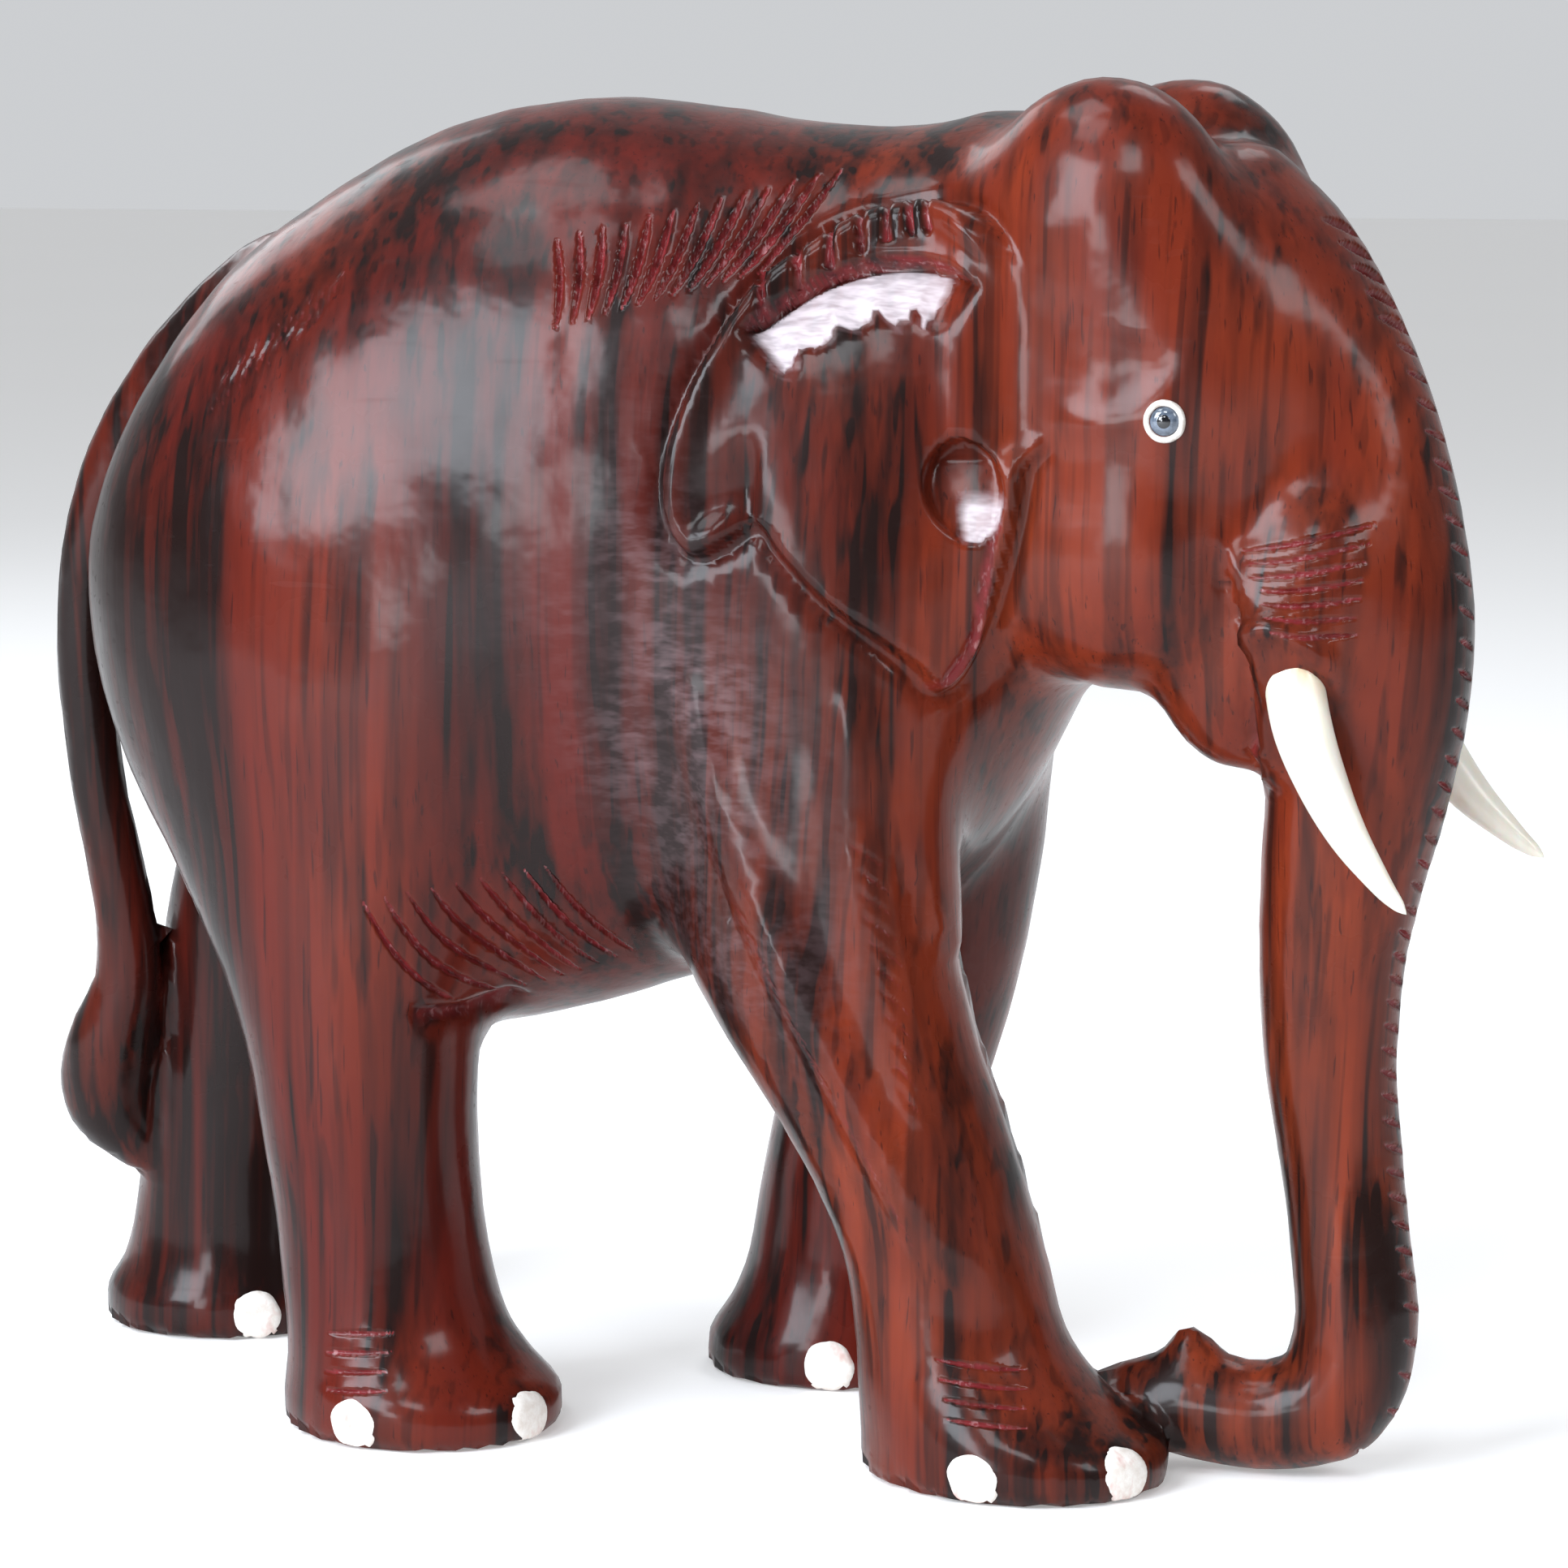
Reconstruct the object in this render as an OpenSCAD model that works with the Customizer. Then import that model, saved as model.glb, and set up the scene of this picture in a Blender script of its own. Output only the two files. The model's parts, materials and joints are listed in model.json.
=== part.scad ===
// Carved elephant, walking, with its trunk curled back to the right front foot.
// The body is one carved block. The tusks, the eyes and the toenails are
// separate pieces let into holes drilled in that block.
// X points to the head, Y to the elephant's left side, Z up. The soles stand
// on z = 0 and the origin is under the middle of the figure.

/* [Figure] */
// Height from the soles to the crown
figure_h = 150; // [90:5:240]
// Turn of the head to its right, degrees
head_turn = 9; // [0:1:14]
// Squareness of the barrel, 1 is a plain oval
barrel_square = 0.92; // [0.75:0.01:1]

/* [Tusks] */
// Thickness of a tusk where it leaves the socket
tusk_d = 6.6; // [5:0.1:8]
// Thickness of the peg inside the socket
tusk_peg_d = 4.4; // [3:0.1:5]
// Depth of the drilled socket
tusk_peg_l = 9; // [5:0.5:12]

/* [Eyes] */
// Outer size of the pale ring
eye_ring_d = 4.6; // [3.5:0.1:6]
// Size of the glassy bead inside the ring
eye_bead_d = 3.4; // [2.5:0.1:4.5]
// Size of the black pupil
eye_pupil_d = 1.5; // [0.8:0.1:2]
// Depth of the recess under the ring
eye_recess = 2; // [1:0.1:3]

/* [Toenails] */
// Thickness of a toenail peg
nail_d = 6; // [4:0.1:7]
// Depth of its hole
nail_l = 5; // [3:0.5:8]
// Height of the peg middle above the ground
nail_z = 2.7; // [2:0.1:4]

/* [Carving] */
// Width of a carved stroke
stroke_w = 1.1; // [0.5:0.1:2]
// Depth of a carved stroke
stroke_d = 0.9; // [0.3:0.1:1.5]
// Notches down the front of the trunk
notch_count = 34; // [10:1:60]

/* [Smoothness] */
// Corners round a body section
section_sides = 24; // [16:4:40]
// Corners round a leg or the trunk
limb_sides = 16; // [12:2:32]

/* [Hidden] */
s = figure_h / 150;
figure_l = 175.6 * s;
figure_w = 71 * s;
neck_x = 21;
// shift that brings the origin under the middle of the figure
mid_x = 0.7;
// middle x, middle y, half length, half width and turn of each sole
feet = [[38.4, -20.5, 17.4, 14.6, -18], [5, 20.5, 15.4, 14.6, 18],
        [-30.9, -20.5, 16, 14.8, -18], [-73.4, 20.5, 15.4, 14.6, 18]];
// nail directions on each foot from straight ahead, outward side positive
nail_turns = [[-80, 10, 72], [-94, 6, 78], [-80, 0, 82], [-72, 6, 78]];
$fn = 32;

// names of the separate pieces

wood = [0.30, 0.10, 0.07];
ivory = [0.95, 0.93, 0.86];
bone = [0.90, 0.88, 0.84];
glass = [0.42, 0.47, 0.55];
black = [0.03, 0.03, 0.04];

// ---- lofted sections ----

function power(v, e) = sign(v) * pow(abs(v), e);

// closed section round centre c, reaching along u and along v
function section(c, u, v, n, e = 1) =
    [for (i = [0 : n - 1]) let (a = 360 * i / n)
        c + u * power(cos(a), e) + v * power(sin(a), e)];

// smooth curve through rows of numbers, k steps from row to row
function blend(a, b, c, d, t) =
    0.5 * (2 * b + (c - a) * t + (2 * a - 5 * b + 4 * c - d) * t * t
        + (3 * b - a - 3 * c + d) * t * t * t);
function smooth(rows, k) = let (m = len(rows) - 1) [
    for (i = [0 : m - 1], j = [0 : k - 1])
        blend(rows[max(i - 1, 0)], rows[i], rows[i + 1], rows[min(i + 2, m)], j / k),
    rows[m]
];

// closed skin over a stack of sections with the same number of corners
module skin(rings) {
    n = len(rings[0]);
    m = len(rings);
    points = [for (r = rings) each r];
    around = [for (j = [0 : m - 2], i = [0 : n - 1]) let (k = (i + 1) % n)
        each [[j * n + i, (j + 1) * n + k, j * n + k],
              [j * n + i, (j + 1) * n + i, (j + 1) * n + k]]];
    first = [[for (i = [0 : n - 1]) i]];
    last = [[for (i = [n - 1 : -1 : 0]) (m - 1) * n + i]];
    polyhedron(points, concat(around, first, last));
}

// rows of [x, top, bottom, half width, middle y]: sections across X
module along_x(rows, n, e = 1) {
    skin([for (r = smooth(rows, 2))
        section([r[0], r[4], (r[1] + r[2]) / 2], [0, r[3], 0],
            [0, 0, (r[1] - r[2]) / 2], n, e)]);
}

// rows of [z, x, y, half length, half width]: level sections, turned in plan
module along_z(rows, n, turn = 0, e = 1) {
    skin([for (r = rows)
        section([r[1], r[2], r[0]], [r[3] * cos(turn), r[3] * sin(turn), 0],
            [-r[4] * sin(turn), r[4] * cos(turn), 0], n, e)]);
}

// rows of [x, z, y, half width, half thickness] along a bent path in XZ
module along_path(rows, n) {
    p = rows;
    m = len(p) - 1;
    skin([for (i = [0 : m]) let (
        d = [p[min(i + 1, m)][0] - p[max(i - 1, 0)][0],
             p[min(i + 1, m)][1] - p[max(i - 1, 0)][1]] ,
        t = d / norm(d))
        section([p[i][0], p[i][2], p[i][1]], [0, p[i][3], 0],
            [-t[1] * p[i][4], 0, t[0] * p[i][4]], n)]);
}

// oval lump
module lump(c, r) {
    translate(c) scale(r) sphere(1, $fn = limb_sides - 4);
}

module turn_head() {
    translate([neck_x, 0, 0]) rotate(-head_turn) translate([-neck_x, 0, 0]) children();
}

module at_middle() {
    translate([mid_x * s, 0, 0]) children();
}

module both_sides() {
    for (side = [-1, 1]) scale([1, -side, 1]) children();
}

// ---- carved forms ----

barrel_rows = [
    [-76.6, 96, 88, 4, 0], [-75.5, 104, 82, 11, 0], [-71.5, 112.5, 74, 19, 0],
    [-65, 122.5, 64, 26, 0], [-56, 132.4, 54, 29.5, 0], [-44, 140.4, 46.5, 31.5, 0],
    [-31, 146.2, 43, 32.3, 0], [-17, 148.6, 46, 32.3, 0], [-4, 147.8, 50, 31, 0],
    [9, 146, 53.5, 28.8, 0], [21, 145.6, 58, 26.6, 0], [31, 147.2, 68, 24, 0],
    [39, 145.6, 82, 21, 0], [45, 139, 90, 16, -1], [49, 130, 98, 9, -1]
];

// hip or shoulder down to a small rounded sole
module leg(rows, foot) {
    f = feet[foot];
    base = [[0, f[0], f[1], f[2] - 0.9, f[3] - 0.9], [0.9, f[0], f[1], f[2], f[3]],
            [4.5, f[0], f[1], f[2], f[3]]];
    along_z(concat(base, rows), limb_sides, f[4]);
}

leg_rows = [
    [[9, 35.4, -20.5, 14.2, 13.2], [15, 32.8, -20.5, 11.6, 11.6], [23, 31, -20.3, 11.1, 11.3],
     [31, 28.2, -20, 11.8, 11.6], [39.5, 24, -19.6, 13.2, 12.2], [48, 19.2, -19, 14.9, 13],
     [57, 15.8, -18.5, 16.6, 13.6], [70, 14.4, -17.5, 17.3, 14], [85, 14.2, -16.5, 18, 14],
     [103, 13.5, -15, 18, 13.5], [121, 12, -13, 13, 11], [130, 12, -11, 5, 5]],
    [[9, 5.8, 20.4, 13, 13.4], [15, 6.4, 20.4, 11.6, 12.2], [23, 7.8, 20.2, 11.5, 11.8],
     [31, 9.8, 20, 11.8, 12], [39.5, 12, 19.6, 12.3, 12.4], [48, 14, 19, 13, 13],
     [57, 15, 18.5, 14, 13.6], [70, 15.8, 17.5, 15, 14], [85, 14.2, 16.5, 17, 14],
     [103, 13.5, 15, 18, 13.5], [121, 12, 13, 13, 11], [130, 12, 11, 5, 5]],
    [[8, -32.6, -20.5, 13.6, 13.6], [14, -34.6, -20.5, 11.8, 12.4], [27, -36.6, -20.3, 11.4, 12],
     [41, -38, -20, 12.7, 12.8], [50, -39.4, -19.5, 15, 13.2], [60, -41.5, -19, 19, 13.4],
     [74, -43.5, -18, 24, 13.6], [90, -45, -17, 25, 13.4], [108, -45, -15, 20, 12],
     [122, -44, -11, 8, 6]],
    [[8, -73, 20.5, 13.6, 13.4], [14, -72.6, 20.5, 12.4, 12.6], [27, -71, 20.3, 12.2, 12.2],
     [41, -68, 20, 12.8, 12.8], [50, -65, 19.5, 14.6, 13.2], [60, -60, 19, 17, 13.4],
     [74, -54, 18, 20, 13.6], [90, -49, 17, 23, 13.4], [108, -45, 15, 20, 12],
     [122, -44, 11, 8, 6]]
];

module tail() {
    along_path([
        [-50, 131.6, 0, 3, 3], [-57, 130, 0, 3.4, 3.3], [-64, 124.6, 0, 3.6, 3.4],
        [-71.4, 117, 0, 3.6, 3.4], [-77.8, 107, 0.4, 3.6, 3.4], [-81.6, 96, 1, 3.5, 3.4],
        [-83.2, 84, 2, 3.4, 3.4], [-82.8, 72, 3.4, 3.3, 3.4], [-81.8, 62, 4.6, 3.2, 3.2],
        [-80.4, 52, 6, 3.4, 3.4], [-80.6, 43, 7.4, 4, 4.2], [-83.4, 35, 8.8, 5, 5.8],
        [-84.4, 28.6, 10, 5, 5.8], [-81, 22.4, 11, 2.6, 3.2]
    ], 12);
}

module skull() {
    along_z([
        [81.5, 58, 0, 12, 10], [85, 56, 0, 17, 15.6], [92, 54.5, 0, 21.5, 19.4],
        [100, 53.5, 0, 23.4, 20.4], [109, 52, 0, 23.6, 20], [118, 50.5, 0, 23, 19],
        [126, 49, 0, 21.5, 18], [134, 48, 0, 19, 16.6], [141, 47.5, 0, 14, 13.6],
        [145, 47.5, 0, 7, 8]
    ], section_sides);
    for (side = [-1, 1]) {
        // two lumps of the crown
        lump([48.5, side * 10.4, 134.4], [14.5, 9.6, 15.6]);
        // forehead under each lump, and the cheek with its jaw corner
        lump([60, side * 6.8, 122], [11.6, 9.2, 16]);
        lump([50.5, side * 11.4, 97], [14.4, 9.6, 12.2]);
        lump([62, side * 9.8, 88.6], [8.4, 6.8, 10]);
        // boss round the tusk socket
        lump([71.4, side * 11, 95.6], [7, 6.6, 8.4]);
    }
}

trunk_rows = [
    [60.6, 138, 0, 6, 5], [64.6, 130, 0, 9, 8], [68.6, 121, 0, 10, 9.4], [71.8, 112, 0, 10.4, 9.8],
    [73.8, 103, 0, 10.6, 10.4], [75, 94, 0, 11, 10.8], [74.8, 85, 0, 10.8, 10.6],
    [73.6, 75, 0, 10, 9.8], [72, 65, 0, 8.8, 8.7], [71, 55, 0, 7.8, 7.7],
    [71, 45, 0, 7.1, 7], [72.2, 35, 0, 6.6, 6.5], [73.8, 25, -0.4, 6.5, 6.4],
    [74.8, 16, -1, 6.6, 6.5], [72.6, 8.8, -2, 6.5, 6.4], [67, 6.4, -3.6, 6.4, 6],
    [61, 6.4, -5, 6, 5.8], [55.5, 7, -6, 5.4, 5.4], [51, 7.4, -6.8, 3.8, 3.8]
];

module trunk() {
    along_path(trunk_rows, limb_sides);
    // raised finger on the curled end
    skin([section([57.6, -5.6, 9], [5.2, 0, 0], [0, 4.6, 0], 10),
          section([57, -5.7, 12.4], [3.2, 0, 0], [0, 3, 0], 10),
          section([56.4, -5.8, 15], [1, 0, 0], [0, 1.4, 0], 10)]);
}

ear_outline = [
    [46, 112], [45.5, 108], [44.5, 103], [42.5, 96], [40.5, 90.5], [38, 87], [34, 91],
    [30, 93.5], [24.5, 96.5], [20, 102], [17, 104], [12.5, 100], [9, 101.5], [7.2, 106],
    [7.4, 111], [9.5, 117], [12, 123.5], [15.5, 129], [21, 133], [28, 136], [36, 137.5],
    [43, 136.5], [48, 130], [49, 120]
];

// sheared so the back edge of the ear stands out from the shoulder
module ear_frame() {
    multmatrix([[1, 0, 0, 0], [0.25, 0, -1, -35], [0, 1, 0, 0], [0, 0, 0, 1]]) children();
}

module ear() {
    ear_frame() {
        translate([0, 0, -11]) linear_extrude(11) polygon(ear_outline);
        linear_extrude(0.8) offset(delta = -0.9) polygon(ear_outline);
    }
}

module ear_cuts() {
    ear_frame() {
        // slots across the folded rim
        for (i = [0 : 6])
            translate([17.5 + 4.1 * i, 130.2 + 5 * sin(20 * i) - 0.14 * i * i, 1.2])
                rotate([0, 0, -40 + 7 * i]) scale([0.5, 3, 1]) cylinder(2.4, r = 1, center = true, $fn = 6);
        // slit under the rim and the scooped band below it
        for (i = [0 : 7])
            translate([17 + 3.8 * i, 123 + 6.6 * sin(18 * i + 8), 0.9])
                scale([2.8, 2.1, 1.2]) sphere(1, $fn = 6);
        // hollow by the cheek
        translate([41, 106, 1]) rotate([0, 0, 20]) scale([3, 5.6, 1.8]) sphere(1, $fn = 12);
    }
}

// side of the barrel at x, z, for laying strokes on the skin
function column(k) = [for (r = barrel_rows) [r[0], r[k]]];
function skin_y(x, z) = let (
    top = lookup(x, column(1)), low = lookup(x, column(2)), half = lookup(x, column(3)),
    up = min(0.98, abs((z - (top + low) / 2) / ((top - low) / 2))))
    half * pow(max(0.02, 1 - pow(up, 2 / barrel_square)), barrel_square / 2);

// spindle-shaped knife cut between two places on the right flank
module stroke(x1, z1, x2, z2, bow = 0) {
    skin([for (i = [0 : 3]) let (t = i / 3, fat = 0.05 + sin(180 * t),
        x = x1 + (x2 - x1) * t, z = z1 + (z2 - z1) * t + bow * sin(180 * t),
        len12 = norm([x2 - x1, z2 - z1]), nx = -(z2 - z1) / len12, nz = (x2 - x1) / len12)
        section([x, -skin_y(x, z), z], [nx, 0, nz] * stroke_w / 2 * fat,
            [0, -1, 0] * stroke_d * fat, 4)]);
}

module flank_strokes() {
    // fan over the shoulder
    for (i = [0 : 11])
        stroke(-20 + 2.8 * i, 121 + 0.6 * i, -20 + 4.3 * i, 135 + 0.6 * i, 0.6);
    // row in front of the thigh
    for (i = [0 : 7])
        stroke(-29 + 2.3 * i, 66 + 0.2 * i, -19.5 + 2.2 * i, 54 + 0.6 * i, -0.6);
    // fine row on the rump
    for (i = [0 : 4])
        stroke(-61 + 2 * i, 112 + 1.1 * i, -57.5 + 2.3 * i, 120 + 1.1 * i);
}

module ankle_strokes(foot, turn) {
    f = feet[foot];
    for (i = [0 : 3])
        translate([leg_rows[foot][1][1], leg_rows[foot][1][2], 12.5 + 2.6 * i])
            rotate(turn + f[4]) translate([12.3 - 0.1 * i, 0, 0])
                scale([stroke_d, 5, stroke_w / 2]) sphere(1, $fn = 8);
}

module trunk_notches() {
    for (i = [1 : notch_count]) let (
        t = (len(trunk_rows) - 6) * i / notch_count, k = floor(t), u = t - k,
        a = trunk_rows[k], b = trunk_rows[k + 1], p = a + (b - a) * u, d = b - a)
        translate([p[0], p[2], p[1]]) rotate([0, atan2(d[0], d[1]) + 180, 0])
            translate([p[4] + 0.1, 0, 0]) scale([1, 1, 0.6])
                rotate([0, 45, 0]) cube([1.2, 3.4, 1.2], center = true);
}

module cheek_lines() {
    both_sides() for (i = [0 : 6])
        translate([76, -12.2, 103.5 - 2 * i]) rotate([0, 6, 0])
            scale([7, 1, 0.45]) sphere(1, $fn = 8);
}

module carved_block() {
    difference() {
        union() {
            along_x(barrel_rows, section_sides, barrel_square);
            for (i = [0 : 3]) leg(leg_rows[i], i);
            tail();
            turn_head() {
                skull();
                trunk();
                both_sides() ear();
            }
        }
        both_sides() flank_strokes();
        for (i = [0 : 3]) ankle_strokes(i, i % 2 == 0 ? -45 : 45);
        turn_head() {
            trunk_notches();
            cheek_lines();
            both_sides() ear_cuts();
        }
    }
}

// ---- holes and what fills them ----

// each tusk leaves its socket pointing down and a little forward and out, the left one more forward
tusk_root = [71.6, -13.5, 88.6];
module tusk_frame(side) {
    scale(s) turn_head() translate([tusk_root[0], -side * tusk_root[1], tusk_root[2]])
        rotate([side * 5, 0, 0]) rotate([0, side > 0 ? -10 : -4, 0]) children();
}

module tusk(side) {
    rows = [[0, 0, 1], [1.2, -6, 0.99], [3.2, -11.4, 0.87], [6.2, -17, 0.66],
            [9.8, -21.8, 0.4], [12.6, -24.8, 0.12]];
    tusk_frame(side) {
        skin([for (r = smooth(rows, 2))
            section([r[0], side * r[0] * 0.15, r[1]],
                [tusk_d / 2 * r[2] * cos(r[0] * 3), 0, tusk_d / 2 * r[2] * sin(r[0] * 3)],
                [0, -tusk_d / 2 * r[2], 0], 20)]);
        cylinder(tusk_peg_l, d = tusk_peg_d);
    }
}

module tusk_socket(side) {
    tusk_frame(side) cylinder(tusk_peg_l, d = tusk_peg_d);
}

// eye axis points out of the head; its zero is the mouth of the recess
module eye_frame(side) {
    scale(s) turn_head() translate([59.1, side * 19.6, 115])
        rotate([-side * 90, 0, 0]) rotate([0, 12, 0]) children();
}

module eye_socket(side) {
    eye_frame(side) translate([0, 0, -eye_recess]) cylinder(eye_recess + 3, d = eye_ring_d);
}

module eye_ring(side) {
    eye_frame(side) difference() {
        translate([0, 0, -eye_recess]) cylinder(eye_recess + 0.3, d = eye_ring_d);
        translate([0, 0, -eye_recess - 1]) cylinder(eye_recess + 3, d = eye_bead_d);
    }
}

module eye_bead(side) {
    eye_frame(side) difference() {
        translate([0, 0, -eye_recess]) cylinder(eye_recess + 0.1, d = eye_bead_d);
        translate([0, 0, -1]) cylinder(3, d = eye_pupil_d);
    }
}

module eye_pupil(side) {
    eye_frame(side) translate([0, 0, -1]) cylinder(1.2, d = eye_pupil_d);
}

// distance from the middle of a foot to its skin in direction a
function foot_reach(f, a) = f[2] * f[3] / norm([f[3] * cos(a), f[2] * sin(a)]);

module nail_frame(foot, k) {
    f = feet[foot];
    side = sign(f[1]);
    turn = side * nail_turns[foot][k];
    scale(s) translate([f[0], f[1], nail_z]) rotate(f[4] + turn)
        translate([foot_reach(f, turn), 0, 0]) rotate([0, 90, 0]) children();
}

module nail_hole(foot, k) {
    nail_frame(foot, k) translate([0, 0, -nail_l]) cylinder(nail_l + 3, d = nail_d);
}

// domed end, and the lower side cut level with the sole
module nail(foot, k) {
    dome = 14;
    difference() {
        nail_frame(foot, k) intersection() {
            translate([0, 0, -nail_l]) cylinder(nail_l + 3, d = nail_d);
            translate([0, 0, 0.5 - dome]) sphere(dome);
        }
        translate([-150 * s, -150 * s, -20 * s]) cube([300 * s, 300 * s, 20 * s]);
    }
}

// ---- pieces ----

module body() {
    color(wood) at_middle() difference() {
        resize([figure_l, figure_w, figure_h]) carved_block();
        for (side = [-1, 1]) {
            tusk_socket(side);
            eye_socket(side);
        }
        for (foot = [0 : 3], k = [0 : 2]) nail_hole(foot, k);
    }
}

module tusk_right() { color(ivory) at_middle() tusk(-1); }
module tusk_left() { color(ivory) at_middle() tusk(1); }
module eye_ring_right() { color(bone) at_middle() eye_ring(-1); }
module eye_bead_right() { color(glass) at_middle() eye_bead(-1); }
module eye_pupil_right() { color(black) at_middle() eye_pupil(-1); }
module eye_ring_left() { color(bone) at_middle() eye_ring(1); }
module eye_bead_left() { color(glass) at_middle() eye_bead(1); }
module eye_pupil_left() { color(black) at_middle() eye_pupil(1); }
module nail_front_right_1() { color(bone) at_middle() nail(0, 0); }
module nail_front_right_2() { color(bone) at_middle() nail(0, 1); }
module nail_front_right_3() { color(bone) at_middle() nail(0, 2); }
module nail_front_left_1() { color(bone) at_middle() nail(1, 0); }
module nail_front_left_2() { color(bone) at_middle() nail(1, 1); }
module nail_front_left_3() { color(bone) at_middle() nail(1, 2); }
module nail_hind_right_1() { color(bone) at_middle() nail(2, 0); }
module nail_hind_right_2() { color(bone) at_middle() nail(2, 1); }
module nail_hind_right_3() { color(bone) at_middle() nail(2, 2); }
module nail_hind_left_1() { color(bone) at_middle() nail(3, 0); }
module nail_hind_left_2() { color(bone) at_middle() nail(3, 1); }
module nail_hind_left_3() { color(bone) at_middle() nail(3, 2); }

body();
tusk_right();
tusk_left();
eye_ring_right();
eye_bead_right();
eye_pupil_right();
eye_ring_left();
eye_bead_left();
eye_pupil_left();
nail_front_right_1();
nail_front_right_2();
nail_front_right_3();
nail_front_left_1();
nail_front_left_2();
nail_front_left_3();
nail_hind_right_1();
nail_hind_right_2();
nail_hind_right_3();
nail_hind_left_1();
nail_hind_left_2();
nail_hind_left_3();
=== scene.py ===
import json
import math

import bmesh
import bpy
import numpy as np
from mathutils import Matrix, Vector

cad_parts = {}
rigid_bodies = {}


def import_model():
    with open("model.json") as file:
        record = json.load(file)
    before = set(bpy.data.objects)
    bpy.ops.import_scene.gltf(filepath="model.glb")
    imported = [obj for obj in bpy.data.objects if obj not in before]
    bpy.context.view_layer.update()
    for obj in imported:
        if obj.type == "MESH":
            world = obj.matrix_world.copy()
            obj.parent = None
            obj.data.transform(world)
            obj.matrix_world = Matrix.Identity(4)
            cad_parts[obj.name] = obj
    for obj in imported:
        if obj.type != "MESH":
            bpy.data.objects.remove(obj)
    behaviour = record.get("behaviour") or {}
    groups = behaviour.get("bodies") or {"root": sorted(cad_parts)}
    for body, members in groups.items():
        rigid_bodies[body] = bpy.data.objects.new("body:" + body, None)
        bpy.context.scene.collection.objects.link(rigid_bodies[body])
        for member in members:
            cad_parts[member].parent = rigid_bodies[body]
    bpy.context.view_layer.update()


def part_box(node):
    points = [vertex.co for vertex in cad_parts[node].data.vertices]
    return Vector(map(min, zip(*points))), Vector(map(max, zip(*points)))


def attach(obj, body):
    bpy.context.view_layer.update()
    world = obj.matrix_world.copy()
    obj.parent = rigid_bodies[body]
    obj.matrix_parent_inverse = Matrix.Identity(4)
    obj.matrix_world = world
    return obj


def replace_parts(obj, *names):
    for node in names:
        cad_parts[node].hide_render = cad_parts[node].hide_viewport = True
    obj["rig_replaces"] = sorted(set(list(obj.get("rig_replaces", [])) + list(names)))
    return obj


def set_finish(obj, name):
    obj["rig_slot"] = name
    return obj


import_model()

# one unit is a millimetre on a figure 150 mm tall, so every row below scales with the frame
bodyLow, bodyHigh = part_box("body")
unit = (bodyHigh.z - bodyLow.z) / 150
midX = 0.7                           # added to every x, so the figure stands over the middle
random = np.random.default_rng(7)


# the shape helpers work in units
def smoothMin(a, b, k):
    h = np.clip(0.5 + 0.5 * (b - a) / k, 0, 1)
    return b + (a - b) * h - k * h * (1 - h)


def ramp(v, a, b):
    t = np.clip((v - a) / (b - a), 0, 1)
    return t * t * (3 - 2 * t)


def bump(d, w):
    return np.exp(-(d / w) ** 2)


def curveThrough(rows, steps=8):
    # smooth dense rows through a few given rows (a Catmull-Rom curve)
    r = np.array(rows, float)
    p = np.vstack([2 * r[0] - r[1], r, 2 * r[-1] - r[-2]])
    out = []
    for i in range(1, len(p) - 2):
        a, b, c, d = p[i - 1], p[i], p[i + 1], p[i + 2]
        for t in np.arange(steps) / steps:
            out.append(0.5 * (2 * b + (c - a) * t + (2 * a - 5 * b + 4 * c - d) * t ** 2
                              + (3 * b - a - 3 * c + d) * t ** 3))
    out.append(r[-1])
    return np.array(out)


def oval(u, v, a, b, n):
    # signed distance, near enough, to a squarish oval
    u = np.abs(u) / a
    v = np.abs(v) / b
    q = (u ** n + v ** n + 1e-12) ** (1 / n)
    gu = (u / q) ** (n - 1) / a
    gv = (v / q) ** (n - 1) / b
    return (q - 1) / np.sqrt(gu * gu + gv * gv)


def closeEnds(d, out):
    return np.where(out > 0, np.sqrt(np.maximum(d, 0) ** 2 + out ** 2), np.maximum(d, out))


def inBox(P, low, high):
    return np.all((P > low) & (P < high), 1)


def acrossX(P, rows, n):
    # rows: x, top, bottom, half width
    r = curveThrough(rows)
    x = P[:, 0]
    top, low, half = (np.interp(x, r[:, 0], r[:, k]) for k in (1, 2, 3))
    d = oval(P[:, 1], P[:, 2] - (top + low) / 2, half, (top - low) / 2, n)
    return closeEnds(d, np.maximum(r[0, 0] - x, x - r[-1, 0]))


def upZ(P, rows, turn):
    # rows: z, x, y, half length, half width
    r = curveThrough(rows)
    z = P[:, 2]
    x, y, a, b = (np.interp(z, r[:, 0], r[:, k]) for k in (1, 2, 3, 4))
    c, s = math.cos(math.radians(turn)), math.sin(math.radians(turn))
    dx = P[:, 0] - x
    dy = P[:, 1] - y
    d = oval(dx * c + dy * s, dy * c - dx * s, a, b, 2)
    return closeEnds(d, np.maximum(r[0, 0] - z, z - r[-1, 0]))


def alongPath(P, rows, steps=4):
    # rows: x, y, z, radius
    r = curveThrough(rows, steps)
    best = np.full(len(P), 30.0)
    for a, b in zip(r[:-1], r[1:]):
        reach = max(a[3], b[3]) + 9
        m = inBox(P, np.minimum(a[:3], b[:3]) - reach, np.maximum(a[:3], b[:3]) + reach)
        Q = P[m]
        ab = b[:3] - a[:3]
        t = np.clip(((Q - a[:3]) @ ab) / (ab @ ab), 0, 1)
        q = Q - a[:3] - t[:, None] * ab
        best[m] = np.minimum(best[m], np.sqrt((q * q).sum(1)) - (a[3] + (b[3] - a[3]) * t))
    return best


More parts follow.
